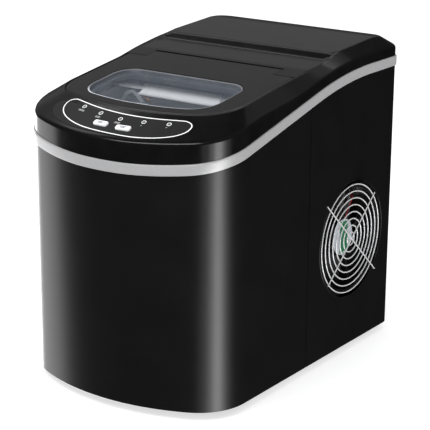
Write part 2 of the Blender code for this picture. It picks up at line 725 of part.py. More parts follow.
def make_paddle(b):
    def along_axis(name, half, radius, material, sides):
        start = (-half, PADDLE_Y, PADDLE_Z)
        return b.rod(name, start, (half, PADDLE_Y, PADDLE_Z), radius, material, sides)

    half = 54.0
    paddle = b.box("ice_paddle", (-half, PADDLE_Y - 1.0, 236.0), (half, PADDLE_Y + 1.0, PADDLE_Z),
                   "grey_plastic", origin=(0.0, PADDLE_Y, PADDLE_Z))
    b.carve(paddle, along_axis("paddle_barrel", half, 3.4, None, 16), 'UNION')
    b.carve(paddle, along_axis("paddle_bore_cut", half + 6.0, 1.6, None, 12))
    slots = [((x - 3.0, PADDLE_Y - 5.0, 225.0), (x + 3.0, PADDLE_Y + 5.0, 256.0))
             for x in (-36.0, -12.0, 12.0, 36.0)]
    b.carve(paddle, b.boxes("paddle_slot_cut", slots, None))
    along_axis("paddle_rod", 89.0, 1.2, "steel", 12)


def make_shield(b):
    """Hollow-curved strip between the side walls of the bin, with a narrow arm at each end."""
    y0, z0 = SHIELD_LOW
    y1, z1 = SHIELD_TOP
    upper = []
    under = []
    for i in range(9):
        a = math.pi / 2.0 * i / 8.0
        for row, extra in ((upper, 0.0), (under, SHIELD_THICK)):
            row.append((y0 + (y1 - y0 + extra) * math.sin(a), z1 - (z1 - z0 + extra) * math.cos(a)))
    section = upper + under[::-1]
    rings = [[(x, y, z) for y, z in section] for x in (-SHIELD_HALF, SHIELD_HALF)]
    shield = b.loft("ice_shield", rings, "white_plastic", "flat")
    for side in (-1.0, 1.0):
        x0, x1 = sorted((side * (SHIELD_HALF - 2.0), side * SHIELD_ARM_END))
        name = "shield_arm_left" if side < 0.0 else "shield_arm_right"
        arm = b.box(name, (x0, -47.6, 286.0), (x1, -45.9, 290.0), None)
        b.carve(shield, arm, 'UNION')


def make_tray(b):
    """Half-round trough: an outer and an inner half cylinder with flat ends, open on top."""
    data = bmesh.new()
    steps = 16

    def half_ring(x, radius):
        ring = []
        for i in range(steps + 1):
            a = math.pi * (1.0 + i / steps)
            ring.append(data.verts.new((x, TRAY_Y + radius * math.cos(a), TRAY_Z + radius * math.sin(a))))
        return ring

    outer_left = half_ring(-TRAY_HALF, TRAY_RADIUS)
    outer_right = half_ring(TRAY_HALF, TRAY_RADIUS)
    inner_left = half_ring(TRAY_WALL - TRAY_HALF, TRAY_RADIUS - TRAY_WALL)
    inner_right = half_ring(TRAY_HALF - TRAY_WALL, TRAY_RADIUS - TRAY_WALL)
    for first, second in ((outer_left, outer_right), (inner_left, inner_right)):
        for k in range(steps):
            data.faces.new((first[k], first[k + 1], second[k + 1], second[k]))
        data.faces.new(first)
        data.faces.new(second)
    for end in (0, -1):
        data.faces.new((outer_left[end], outer_right[end], inner_right[end], inner_left[end]))
    for outer, inner in ((outer_left, inner_left), (outer_right, inner_right)):
        data.faces.new((outer[0], inner[0], inner[-1], outer[-1]))
    tray = b.finish("water_tray", data, "grey_plastic", (0.0, TRAY_Y, TRAY_Z))
    for side in (-1.0, 1.0):
        start = (side * (TRAY_HALF - 1.0), TRAY_Y, TRAY_Z)
        end = (side * 68.0, TRAY_Y, TRAY_Z)
        name = "tray_stub_left" if side < 0.0 else "tray_stub_right"
        stub = b.rod(name, start, end, 4.0, None, 16)
        b.carve(tray, stub, 'UNION')

    bearing = b.box("tray_bearing", (-89.0, TRAY_Y - 8.0, TRAY_Z - 9.0),
                    (-62.0, TRAY_Y + 8.0, TRAY_Z + 7.0), "white_plastic")
    bore = b.rod("bearing_bore_cut", (-70.0, TRAY_Y, TRAY_Z), (-60.0, TRAY_Y, TRAY_Z), 4.4, None, 16)
    b.carve(bearing, bore)
    motor = b.box("tray_motor", (62.0, TRAY_Y - 16.0, TRAY_Z - 18.0), (89.0, TRAY_Y + 16.0, TRAY_Z + 18.0),
                  "black_plastic", bevel=2.0)
    b.carve(motor, b.rod("motor_bore_cut", (60.0, TRAY_Y, TRAY_Z), (70.0, TRAY_Y, TRAY_Z), 4.4, None, 16))


def make_evaporator(b):
    plate = b.box("evaporator", (-50.0, TRAY_Y - 21.0, 267.0), (50.0, TRAY_Y + 21.0, 275.0), "steel",
                  bevel=1.5)
    places = [(FINGER_PITCH * (k - 2), TRAY_Y + 9.5) for k in range(5)]
    places += [(FINGER_PITCH * (k - 1.5), TRAY_Y - 9.5) for k in range(4)]
    length = 32.0
    profile = ((0.0, 0.0), (FINGER_RADIUS * 0.6, 0.0), (FINGER_RADIUS, 3.0), (FINGER_RADIUS, length),
               (0.0, length))
    for index, (x, y) in enumerate(places):
        finger = b.turned(f"finger_{index}", profile, (x, y, FINGER_TIP), (0, 0, 1), None, 14)
        b.carve(plate, finger, 'UNION')


def make_water_system(b):
    x, y = PUMP
    case = ((0.0, 92.0), (4.0, 92.0), (4.0, 88.0), (15.0, 88.0), (15.0, 62.0), (12.5, 62.0), (12.5, 74.0),
            (0.0, 74.0))
    b.turned("water_pump", case, (x, y, 0.0), (0, 0, 1), "black_plastic", 20)
    wheel = b.rod("pump_impeller", (x, y, 63.0), (x, y, 73.4), 4.0, "grey_plastic", 14)
    vanes = (((x - 11.0, y - 0.8, 64.0), (x + 11.0, y + 0.8, 71.0)),
             ((x - 0.8, y - 11.0, 64.5), (x + 0.8, y + 11.0, 70.5)))
    for index, (low, high) in enumerate(vanes):
        b.carve(wheel, b.box(f"impeller_vane_{index}", low, high, None), 'UNION')
    hose = ((x, y, 93.8), (x - 6.0, y - 3.0, 106.0), (-81.0, -20.0, 150.0), (-82.0, -38.0, 235.0),
            (-76.0, -44.0, 272.0), (-64.0, -43.5, 282.0), (-54.0, -41.0, 271.0))
    b.pipe("pump_hose", hose, 2.6, "grey_plastic")
    for side, x0, x1 in (("left", -89.0, -84.0), ("right", 84.0, 89.0)):
        b.box(f"ice_level_sensor_{side}", (x0, -90.0, 244.0), (x1, -76.0, 256.0), "black_plastic",
              bevel=1.0)


# ---------------------------------------------------------------- cooling system

def make_compressor(b):
    x, y = COMPRESSOR
    shell = ((0.0, 19.0), (34.0, 19.0), (46.0, 30.0), (46.0, 96.0), (43.0, 112.0), (34.0, 124.0),
             (18.0, 131.0), (0.0, 133.0))
    body = b.turned("compressor", shell, (x, y, 0.0), (0, 0, 1), "gloss_black_steel", 28)
    foot = b.box("compressor_foot", (x - 55.0, y - 40.0, 17.0), (x + 55.0, y + 40.0, 20.0), None)
    b.carve(body, foot, 'UNION')
    for index, (dx, dy) in enumerate(((-48.0, 0.0), (48.0, -30.0), (48.0, 30.0)), 1):
        ring = ((0.0, 10.9), (8.0, 10.9), (6.0, 13.8), (8.0, 16.6), (0.0, 16.6))
        b.turned(f"grommet_{index}", ring, (x + dx, y + dy, 0.0), (0, 0, 1), "rubber", 14)
    b.box("terminal_cover", (x + 46.4, y - 14.0, 58.0), (x + 60.0, y + 14.0, 94.0), "black_plastic",
          bevel=2.0)


def make_condenser(b):
    """Finned block, a comb in plan."""
    start = 36.5
    outline = [(66.0, start)]
    fins = 13
    pitch = 8.0
    for k in range(fins):
        y = start + pitch * k
        outline += [(91.0, y), (91.0, y + 2.0)]
        if k < fins - 1:
            outline += [(72.0, y + 2.0), (72.0, y + pitch)]
    outline.append((66.0, start + pitch * (fins - 1) + 2.0))
    b.prism("condenser", outline, 64.0, 188.0, "steel", origin=(78.0, 88.0, 126.0))


def make_fan(b):
    y, z = FAN_CENTRE
    half = 59.0
    frame = b.box("fan_frame", (FAN_FRAME_X[0], y - half, z - half), (FAN_FRAME_X[1], y + half, z + half),
                  "black_plastic", bevel=3.0)
    b.carve(frame, b.rod("fan_bore_cut", (90.0, y, z), (130.0, y, z), 55.0, None, 40))
    b.carve(frame, b.rod("fan_hub", (FAN_HUB_X[0], y, z), (FAN_HUB_X[1], y, z), 21.0, None, 28), 'UNION')
    strut_x = 0.5 * (FAN_HUB_X[0] + FAN_HUB_X[1])
    for index, a in enumerate((0.3, 0.3 + math.pi / 2.0)):
        turn = Matrix.Translation(Vector((strut_x, y, z))) @ Matrix.Rotation(a, 4, 'X')
        strut = b.box(f"fan_strut_{index}", (-1.4, -57.0, -2.2), (1.4, 57.0, 2.2), None, frame=turn)
        b.carve(frame, strut, 'UNION')
    rotor = b.rod("fan_rotor", (FAN_ROTOR_X[0], y, z), (FAN_ROTOR_X[1], y, z), 19.5, "black_plastic", 28)
    for index in range(7):
        turn = Matrix.Translation(Vector((FAN_BLADE_X, y, z)))
        turn = turn @ Matrix.Rotation(2.0 * math.pi * index / 7.0, 4, 'X')
        turn = turn @ Matrix.Rotation(math.radians(38.0), 4, 'Z')
        blade = b.box(f"fan_blade_{index}", (-1.0, -9.0, 17.0), (1.0, 9.0, 53.0), None, frame=turn)
        b.carve(rotor, blade, 'UNION')


def make_guard(b):
    """Wire guard as one flat polar grid: rings with two bars across them."""
    y, z = FAN_CENTRE
    sectors = GUARD_SECTORS
    bars = [k * sectors // 4 + sectors // 8 for k in range(4)]
    edges = [0.0, 3.0]
    for k in range(1, GUARD_RINGS + 1):
        middle = GUARD_RADIUS - GUARD_PITCH * (GUARD_RINGS - k)
        edges += [middle - 1.0, middle + 1.0]
    solid_ring = [k % 2 == 0 for k in range(len(edges) - 1)]
    data = bmesh.new()
    points = {}

    def vertex(ring, sector, side):
        key = (ring, sector % sectors if ring else 0, side)
        if key not in points:
            a = 2.0 * math.pi * key[1] / sectors
            x = 119.5 if side == 0 else 121.7
            points[key] = data.verts.new((x, y + edges[ring] * math.cos(a), z + edges[ring] * math.sin(a)))
        return points[key]

    def solid(ring, sector):
        if ring < 0 or ring >= len(solid_ring):
            return False
        return solid_ring[ring] or sector % sectors in bars

    def face(keys):
        corners = list(dict.fromkeys(vertex(*key) for key in keys))
        data.faces.new(corners)

    for ring in range(len(solid_ring)):
        for sector in range(sectors):
            if not solid(ring, sector):
                continue
            for side in (0, 1):
                face(((ring, sector, side), (ring + 1, sector, side), (ring + 1, sector + 1, side),
                      (ring, sector + 1, side)))
            if not solid(ring + 1, sector):
                face(((ring + 1, sector, 0), (ring + 1, sector + 1, 0), (ring + 1, sector + 1, 1),
                      (ring + 1, sector, 1)))
            if ring and not solid(ring - 1, sector):
                face(((ring, sector, 0), (ring, sector + 1, 0), (ring, sector + 1, 1), (ring, sector, 1)))
            for step in (0, 1):
                beside = sector + 1 if step else sector - 1
                if not solid(ring, beside) and ring:
                    edge = sector + step
                    face(((ring, edge, 0), (ring + 1, edge, 0), (ring + 1, edge, 1), (ring, edge, 1)))
    b.finish("fan_guard", data, "steel", (120.6, y, z))


def make_refrigerant_parts(b):
    b.rod("filter_drier", (0.0, 158.0, 48.0), (52.0, 158.0, 48.0), 8.0, "copper", 16)
    valve = b.box("hot_gas_valve", (16.0, 140.0, 150.0), (40.0, 162.0, 176.0), "black_plastic", bevel=1.5)
    b.carve(valve, b.rod("valve_body", (28.0, 151.0, 140.0), (28.0, 151.0, 190.0), 5.0, None, 14), 'UNION')
    discharge = ((-40.0, 116.0, 133.5), (-38.0, 116.0, 160.0), (-10.0, 108.0, 196.0), (40.0, 96.0, 206.0),
                 (69.0, 92.0, 203.0), (69.0, 90.5, 189.6))
    b.pipe("discharge_tube", discharge, 3.0, "copper")
    liquid = ((69.0, 120.0, 62.4), (68.0, 126.0, 52.0), (63.0, 145.0, 47.0), (55.2, 157.6, 48.0))
    b.pipe("liquid_tube", liquid, 2.4, "copper")
    capillary = ((-2.2, 158.0, 48.0), (-9.0, 163.0, 52.0), (-6.0, 168.0, 120.0), (-14.0, 160.0, 220.0),
                 (-40.0, 110.0, 268.0), (-60.0, 60.0, 280.0), (-64.0, 25.0, 281.0), (-66.0, 0.0, 280.0),
                 (-63.0, -20.0, 274.0), (-50.6, -23.0, 271.0))
    b.pipe("capillary_tube", capillary, 1.5, "copper")
    suction = ((-52.2, -30.0, 271.0), (-63.0, -30.0, 275.0), (-73.0, -14.0, 287.0), (-72.5, 8.0, 291.0),
               (-71.5, 25.0, 291.5), (-72.0, 60.0, 289.0), (-78.0, 100.0, 268.0), (-70.0, 116.0, 200.0),
               (-62.0, 116.0, 133.9))
    b.pipe("suction_tube", suction, 3.0, "copper")


def make_power_board(b):
    board = b.box("power_board", (2.0, 168.0, 206.0), (92.0, 169.6, 276.0), "board_green")
    blocks = (((10.0, 148.0, 214.0), (38.0, 168.5, 240.0)), ((50.0, 152.0, 214.0), (82.0, 168.5, 232.0)),
              ((52.0, 150.0, 244.0), (68.0, 168.5, 266.0)))
    for index, (low, high) in enumerate(blocks):
        b.carve(board, b.box(f"board_block_{index}", low, high, None), 'UNION')


def main():
    clear_scene()
    b = Builder()
    make_base(b)
    make_wraps(b)
    make_band(b)
    make_gland(b)
    make_top_housing(b)
    make_lid(b)
    make_overlay(b)
    make_controls(b)
    make_tank(b)
    make_basket(b)
    make_paddle(b)
    make_shield(b)
    make_tray(b)
    make_evaporator(b)
    make_water_system(b)
    make_compressor(b)
    make_condenser(b)
    make_fan(b)
    make_guard(b)
    make_refrigerant_parts(b)
    make_power_board(b)


main()
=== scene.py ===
"""Looks of the countertop ice maker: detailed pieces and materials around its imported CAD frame.

Metres, +Z up, the front faces -Y.  Outlines and profiles below are in millimetres, and are scaled
by MM where a mesh is made.
"""

import json
import math

import bmesh
import bpy
from mathutils import Matrix, Vector

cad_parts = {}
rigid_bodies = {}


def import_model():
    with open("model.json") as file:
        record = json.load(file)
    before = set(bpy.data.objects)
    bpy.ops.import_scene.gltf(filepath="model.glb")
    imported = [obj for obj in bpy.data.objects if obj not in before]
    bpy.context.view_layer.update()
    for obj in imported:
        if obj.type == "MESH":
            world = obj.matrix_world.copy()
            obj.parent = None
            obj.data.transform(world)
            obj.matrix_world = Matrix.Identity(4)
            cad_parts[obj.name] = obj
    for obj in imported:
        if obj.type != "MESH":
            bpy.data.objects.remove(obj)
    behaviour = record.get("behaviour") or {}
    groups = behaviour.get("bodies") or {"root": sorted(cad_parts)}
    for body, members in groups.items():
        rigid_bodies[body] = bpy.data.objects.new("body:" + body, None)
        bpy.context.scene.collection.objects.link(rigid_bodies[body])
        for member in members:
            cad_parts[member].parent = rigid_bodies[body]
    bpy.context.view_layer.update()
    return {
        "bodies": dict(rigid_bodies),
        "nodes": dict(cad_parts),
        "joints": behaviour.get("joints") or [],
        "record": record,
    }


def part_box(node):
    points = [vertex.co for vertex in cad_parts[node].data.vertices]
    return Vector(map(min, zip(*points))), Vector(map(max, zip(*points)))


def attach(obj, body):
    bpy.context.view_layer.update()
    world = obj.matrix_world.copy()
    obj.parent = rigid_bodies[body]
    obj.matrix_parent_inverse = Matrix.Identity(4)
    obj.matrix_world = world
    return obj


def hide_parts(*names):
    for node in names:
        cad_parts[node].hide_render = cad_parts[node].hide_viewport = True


MM = 0.001
WELD = 0.000002                  # metres within which points are joined

# Outlines shared with the CAD: half width, front, bow, front corner, back, back corner.
BODY = (121.0, -179.0, 38.0, 55.0, 179.0, 15.0)
DECK = (104.0, -139.5, 22.0, 42.0, 171.0, 12.0)
WINDOW = (78.0, -124.0, 12.0, 30.0, -38.0, 22.0)
DECK_TOP = ((-140.0, 291.0), (23.0, 314.0), (60.0, 317.0), (68.0, 323.0), (150.0, 328.0), (171.0, 326.5))
SIDE_ROWS = (*(-84.0 + 4.0 * k for k in range(35)), *(54.0 + 1.5 * k for k in range(13)),
             *(76.0 + 6.0 * k for k in range(16)))
BAND_FRONT_LOW = 239.4
BAND_SLOPE = 0.2347
BAND_ROWS = (-180.0, -176.0, 15.0, 120.0)
BAND_HEIGHT_FRONT = 10.6
BAND_HEIGHT_BACK = 10.3
FLOOR_CLEARANCE = 8.0
SKIN = 1.0
PANEL_SPLIT = 4.0
GAP = 0.3
SEAM = 0.45                      # half of the open seam between the two wraps
SEAM_CURL = ((0.95, 0.0), (0.45, 0.02), (0.12, 0.14), (0.0, 0.45))
SHEET_ROUND = 0.3
HINGE_Y = 13.0
HINGE_Z = 309.3
BARREL_RADIUS = 3.2
CHANNEL_BACK = HINGE_Y + 3.6     # where the deck starts behind the lid's barrel
PIN_RADIUS = 1.5
TONGUE_HALF = 79.0
TONGUE_GAP = 0.4
NOTCH_FRONT = -3.0
NOTCH_BACK = 40.0
CUT_LOW = 250.0                  # the lid's cutters start below it and end above the machine
ABOVE_ALL = 345.0

# The deck's edge follows one soft curve past the step: middle, reach and extra softness.
STEP_MIDDLE = 62.0
STEP_REACH = 48.0
STEP_SOFT = 20.0
CREASE_RADIUS = 3.2
DECK_EDGE_RADIUS = 1.6

# Rounded profiles. The lid's and the window's are (inset, depth below the deck's top).
BAND_CROWN = ((-0.3, 0.0), (0.8, 0.0), (1.2, 0.25), (1.4, 0.8), (1.46, 2.0))
BAND_CROWN_TOP = 1.49
LID_DEPTH = 4.6
LID_RIM = ((0.0, 1.7), (0.12, 1.25), (0.45, 0.88), (1.0, 0.58), (2.0, 0.32), (3.0, 0.07), (4.0, 0.0))
WINDOW_TOP = ((0.3, 1.1), (0.45, 0.7), (0.8, 0.45), (1.6, 0.45), (2.0, 0.7), (2.3, 1.3), (3.0, 3.4),
              (3.6, 4.1), (4.4, 4.4), (6.4, 4.6), (7.2, 4.9), (7.9, 5.6), (9.6, 8.4), (11.2, 9.9),
              (13.2, 10.7), (16.0, 11.0))
WINDOW_BOTTOM = ((0.3, 5.4), (0.6, 5.9), (3.0, 6.6), (5.6, 8.0), (8.0, 10.2), (10.0, 11.8), (13.0, 12.8),
                 (16.0, 13.0))
LIP_INSET = 2.3                  # where the window's pale lip ends, and its ledge ends at the next
LEDGE_INSET = 9.6

# Back and left side.
VENT_ROWS = 9
VENT_FIRST = 68.0
VENT_PITCH = 12.0
VENT_HALF = 2.0
VENT_ROUND = 1.95
GLAND_SPOT = (-80.0, 40.0)
GLAND_HOLE_RADIUS = 7.0
SCREW_SPOTS = ((-100.0, 60.0), (100.0, 60.0), (-100.0, 230.0), (100.0, 230.0))
SCREW_PROFILE = ((0.0, 0.0), (3.2, 0.0), (3.15, 0.35), (2.8, 0.75), (2.1, 1.0), (1.0, 1.1), (0.0, 1.1))
SCREW_SLOT = (2.0, 0.35)         # half length and half width

# Control panel. Spots are (x, share of the slope), sizes are (length, width).
BUTTON_SPOTS = ((-9.0, 0.40), (18.0, 0.37))
BUTTON_HOLE = (17.6, 7.6)
BUTTON_FILM_HOLE = (8.6, 3.6, 2.3)
BUTTON_CAP = (8.1, 3.1, 1.9)     # half length, half width and corner radius, as in the film's hole
BUTTON_STEM = (1.6, 1.5, 1.4)
BUTTON_RINGS = ((0.0, -2.0), (0.0, 1.3), (0.15, 1.7), (0.5, 2.0), (1.1, 2.15), (2.0, 2.2))
BUTTON_MARKS = ((7.5, 0.75), (5.0, -0.75))
LAMP_SPOTS = ((-44.0, 0.77), (-19.0, 0.705), (7.0, 0.64), (33.0, 0.64), (59.0, 0.633))
LAMP_HOLE = (3.8, 3.79)
LAMP_FILM_HOLE = (3.7, 3.69)
LAMP_RING = ((1.85, 0.0), (2.35, 0.0), (2.35, 0.2), (1.85, 0.2))
LAMP_LENS = ((0.0, -7.0), (1.6, -7.0), (1.6, 0.25), (1.45, 0.6), (1.0, 0.85), (0.0, 0.95))
LEGEND_WIDTHS = (8.0, 6.0, 6.5, 1.6, 1.6)
LEGEND_ROWS = (2, 2, 2, 1, 1)
HOUSING_CUT = (-20.0, 12.0)      # depths of the holes' cutters
FILM_CUT = (-6.0, 8.0)
PANEL_CENTRE = 0.063
PANEL_TILT = -0.09
PANEL_SHIFT = 0.01
PANEL_ACROSS = 80.0              # millimetres per unit along the slope, and up it
PANEL_UP = 46.0
PANEL_KNOTS = ((0.0, 0.150), (0.35, 0.155), (0.60, 0.205), (0.78, 0.300), (0.89, 0.440), (0.938, 0.600),
               (0.935, 0.720), (0.89, 0.800), (0.80, 0.832), (0.40, 0.812), (0.0, 0.800))
PANEL_LINE = 0.52                # half width of the printed outline
FILM_LOW = -0.3
FILM_TOP = 0.45

# Fan and guard.
FAN_CENTRE = (88.0, 125.3)
FAN_HOLE_RADIUS = 62.5
FAN_HUB_FACE = 110.2
FAN_BLADES = 7
GUARD_RADIUS = 58.0
GUARD_PITCH = 7.3
GUARD_RINGS = 8
GUARD_FACE = 120.1
GUARD_BAR_FACE = 121.45
GUARD_BARS = ((41.4, 60.5), (-42.7, 69.0))    # angle and half length
WIRE_RADIUS = 0.66
RIM_FACE = 120.9
RIM_RADIUS = 0.7
LABEL_PROFILE = ((0.0, 0.0), (19.2, 0.0), (19.2, 0.22), (18.9, 0.3), (0.0, 0.3))
LABEL_BAND = ((-6.0, -17.5), (9.5, -16.0), (9.5, 16.0), (-6.0, 17.5))
LABEL_BARS = (3.5, 2.5, 4.0, 2.0)
LABEL_BAR_LEFT = 11.0
LABEL_BAR_TOP = 7.5
LABEL_BAR_PITCH = 5.0
LABEL_BAR_HEIGHT = 1.3
LEAD_RADIUS = 0.5
LEAD_KNOTS = ((-1.2, 3.0, 19.0), (0.6, 5.0, 23.0), (0.8, 10.0, 31.0), (0.8, 14.0, 36.0), (-0.6, 18.0, 40.0),
              (-3.2, 21.0, 42.5))

# Material: name, its two colours (one number is a grey), roughness from and to, noise scale,
# bump and its noise scale, options.
MATERIALS = {
    "wrap": ("wrap_black", 0.004, 0.005, 0.283, 0.297, 26.0, 0.02, 900.0, {"specular": 0.42}),
    "shell": ("shell_black", 0.003, 0.0045, 0.17, 0.21, 60.0, 0.015, 700.0, {"specular": 0.38}),
    "lid": ("lid_black", 0.005, 0.007, 0.15, 0.2, 60.0, 0.02, 800.0, {"specular": 0.42}),
    "film": ("panel_black", 0.0145, 0.0165, 0.3, 0.36, 300.0, 0.03, 2200.0, {"specular": 0.14}),
    "dark": ("moulded_black", 0.01, 0.016, 0.42, 0.52, 500.0, 0.12, 1800.0, {}),
    "trim": ("satin_silver", 0.385, 0.43, 0.34, 0.42, 300.0, 0.04, 900.0,
             {"metallic": 0.3, "stretch": (1.0, 1.0, 6.0)}),
    "window": ("window_smoky", (0.12, 0.14, 0.17), (0.15, 0.17, 0.2), 0.06, 0.09, 40.0, 0.02, 90.0,
               {"alpha": 0.22}),
    "ledge": ("window_ledge", (0.09, 0.105, 0.13), (0.12, 0.135, 0.16), 0.2, 0.28, 60.0, 0.03, 200.0,
              {"alpha": 0.5, "specular": 0.3}),
    # The window's pale rim; its front is made brighter by a painted highlight in the fades below.
    "lip": ("window_lip", (0.62, 0.65, 0.7), (0.7, 0.73, 0.78), 0.26, 0.34, 60.0, 0.02, 200.0,
            {"alpha": 0.85, "specular": 0.25}),
    "white": ("moulded_white", (0.74, 0.75, 0.77), (0.8, 0.81, 0.83), 0.38, 0.46, 180.0, 0.05, 1500.0, {}),
    "grey": ("moulded_grey", (0.36, 0.38, 0.4), (0.42, 0.44, 0.46), 0.4, 0.5, 180.0, 0.06, 1500.0, {}),
    "print": ("printed_white", 0.82, 0.9, 0.45, 0.55, 900.0, 0.02, 2700.0, {}),
    "legend": ("printed_grey", 0.3, 0.38, 0.45, 0.55, 900.0, 0.02, 2700.0, {}),
    "fan": ("fan_black", 0.003, 0.005, 0.4, 0.5, 500.0, 0.1, 1800.0, {"specular": 0.3}),
    "liner": ("liner_white", (0.42, 0.44, 0.47), (0.48, 0.5, 0.53), 0.4, 0.5, 180.0, 0.05, 1500.0, {}),
    "shield": ("shield_milky", (0.86, 0.88, 0.9), (0.9, 0.92, 0.94), 0.3, 0.4, 180.0, 0.03, 1500.0, {}),
    "rubber": ("rubber_black", 0.014, 0.022, 0.7, 0.85, 700.0, 0.25, 2500.0, {}),
    "wire": ("wire_bright", 0.66, 0.76, 0.22, 0.32, 700.0, 0.05, 2100.0, {"metallic": 0.35}),
    "steel": ("steel_sheet", 0.5, 0.6, 0.26, 0.38, 40.0, 0.1, 300.0,
              {"metallic": 0.9, "stretch": (1.0, 1.0, 14.0)}),
    "fins": ("fin_aluminium", 0.46, 0.56, 0.34, 0.46, 120.0, 0.12, 400.0,
             {"metallic": 0.8, "stretch": (1.0, 1.0, 8.0)}),
    "copper": ("copper_tube", (0.55, 0.24, 0.12), (0.72, 0.36, 0.2), 0.24, 0.4, 90.0, 0.08, 500.0,
               {"metallic": 1.0}),
    "board": ("board_green", (0.01, 0.12, 0.04), (0.02, 0.19, 0.07), 0.3, 0.42, 260.0, 0.1, 900.0,
              {"coat": 0.4}),
    "foam": ("foam_cream", (0.62, 0.57, 0.44), (0.74, 0.69, 0.56), 0.85, 0.95, 350.0, 0.6, 1200.0, {}),
    "lamp": ("lamp_clear", (0.1, 0.11, 0.11), (0.14, 0.15, 0.15), 0.12, 0.2, 500.0, 0.03, 1500.0,
             {"coat": 0.6}),
    "enamel": ("enamel_black", 0.006, 0.01, 0.22, 0.3, 90.0, 0.08, 260.0, {"coat": 0.5}),
    "red": ("lead_red", (0.32, 0.015, 0.025), (0.42, 0.03, 0.04), 0.35, 0.45, 800.0, 0.05, 2400.0, {}),
    "green": ("label_green", (0.008, 0.13, 0.05), (0.015, 0.18, 0.07), 0.4, 0.5, 900.0, 0.02, 2700.0, {}),
    "clear": ("clear_plastic", (0.7, 0.74, 0.78), (0.78, 0.82, 0.85), 0.1, 0.18, 90.0, 0.02, 270.0,
              {"alpha": 0.55}),
    "mark": ("printed_dark", 0.09, 0.13, 0.45, 0.55, 900.0, 0.02, 2700.0, {}),
    "label": ("label_grey", (0.4, 0.43, 0.46), (0.5, 0.53, 0.56), 0.45, 0.55, 900.0, 0.02, 2700.0, {}),
}

# Painted light and shade: material, axis, start and end in metres, and the share of its colour that is left
# at the end.
PAINTED_LIGHT_FADES = (("shield", "Z", 0.2855, 0.2915, 0.06),      # painted shade: the milky strip is whitest along its lower edge and darkens upward, as if shaded by the lid
         ("lip", "Y", -0.116, -0.095, 0.22))         # painted highlight: the window's pale rim is whitest along its front and darker behind

# CAD nodes kept in their own shape: node, piece, material, edge radius.
INSIDE = (
    ("inner_tank", "bin_liner", "liner", 0.8),
    ("tank_insulation", "foam_jacket", "foam", 0.8),
    ("drain_pipe", "drain_pipe_tube", "grey", 0.4),
    ("drain_plug", "drain_plug_knob", "grey", 0.5),
    ("ice_basket", "ice_basket_moulded", "grey", 0.6),
    ("ice_paddle", "ice_paddle_blade", "clear", 0.5),
    ("paddle_rod", "paddle_rod_steel", "steel", 0.3),
    ("ice_shield", "ice_shield_curved", "shield", 0.4),
    ("water_tray", "water_tray_trough", "grey", 0.6),
    ("tray_bearing", "tray_bearing_block", "white", 0.8),
    ("tray_motor", "tray_motor_case", "dark", 0.4),
    ("evaporator", "evaporator_fingers", "steel", 0.6),
    ("water_pump", "water_pump_case", "dark", 0.6),
    ("pump_impeller", "pump_impeller_wheel", "grey", 0.3),
    ("pump_hose", "pump_hose_tube", "clear", 0.0),
    *((f"ice_level_sensor_{k}", f"ice_sensor_{k}", "dark", 0.4) for k in ("left", "right")),
    ("compressor", "compressor_shell", "enamel", 1.2),
    *((f"grommet_{k}", f"compressor_grommet_{k}", "rubber", 0.6) for k in (1, 2, 3)),
    ("terminal_cover", "terminal_cover_cap", "dark", 0.5),
    ("condenser", "condenser_fins", "fins", 0.2),
    ("filter_drier", "filter_drier_can", "copper", 1.5),
    ("hot_gas_valve", "hot_gas_valve_coil", "dark", 0.5),
    *((f"{k}_tube", f"{k}_tube_copper", "copper", 0.0)
      for k in ("discharge", "liquid", "capillary", "suction")),
    ("power_board", "power_board_panel", "board", 0.3),
)

# Studio. World stops are (share of the height, brightness in reflections).
WORLD_STOPS = ((0.00, 0.012), (0.46, 0.012), (0.56, 0.09), (0.63, 0.25), (0.685, 0.25), (0.72, 0.18),
               (0.77, 0.21), (0.832, 0.24), (0.848, 1.70), (0.868, 1.70), (0.89, 0.08), (1.00, 0.04))
WORLD_BRIGHT_SIDE = (-0.82, 0.57, 0.0)
WORLD_BRIGHT_FROM = 0.70
WORLD_BRIGHT_TO = 0.90
WORLD_DIM_SHARE = 0.18
WORLD_FILL = (0.95, 0.95, 0.96, 1.0)
WORLD_WHITE = (1.0, 1.0, 1.0, 1.0)
FLOOR_SIZE = 9.0
FLOOR_Z = -0.0002
FLOOR_COLOURS = ((0.50, 0.50, 0.50), (0.53, 0.53, 0.53))
FLOOR_GLOW = ((1.0, 1.0, 1.0), 0.62)
LIGHT_DISTANCE = 1.6
LIGHT_TARGET = (0.0, 0.0, 0.16)
# Name, azimuth, elevation, width and height in metres, watts.
LIGHTS = (("key", -25.0, 62.0, 1.3, 1.3, 22.0),
          ("edge_light", 0.0, 36.0, 1.6, 0.35, 13.0),
          ("right_core", 71.0, -30.0, 0.42, 1.5, 10.0),
          ("right_soft", 70.0, -30.0, 0.95, 1.5, 8.5),
          ("right_wide", 68.0, -30.0, 1.75, 1.5, 5.5),
          ("left_core", -122.0, -30.0, 1.05, 1.5, 24.0),
          ("left_wide", -104.0, -30.0, 2.30, 1.5, 22.0))

# Camera at the photo's angle.
VIEW_AZIMUTH = 35.1
VIEW_ELEVATION = 17.03
VIEW_ROLL = 0.4
VIEW_DISTANCE = 1.6515
VIEW_LENS = 133.25
VIEW_SENSOR = 36.0
VIEW_TARGET = (0.0, 0.0, 0.172)
VIEW_OFFSET = (0.00649, -0.02022)


# ---------------------------------------------------------------- outlines

def clamp(value):
    return min(max(value, 0.0), 1.0)


def bow(shape):
    """Radius and centre of a bowed front, the centre of its corner, and the angle where the two meet."""
    half, front, depth, corner = shape[:4]
    radius = (half * half + depth * depth) / (2.0 * depth)
    arc_y = front + radius
    corner_x = half - corner
    corner_y = arc_y - math.sqrt((radius - corner) ** 2 - corner_x ** 2)
    return radius, arc_y, corner_x, corner_y, math.atan2(corner_x, arc_y - corner_y)


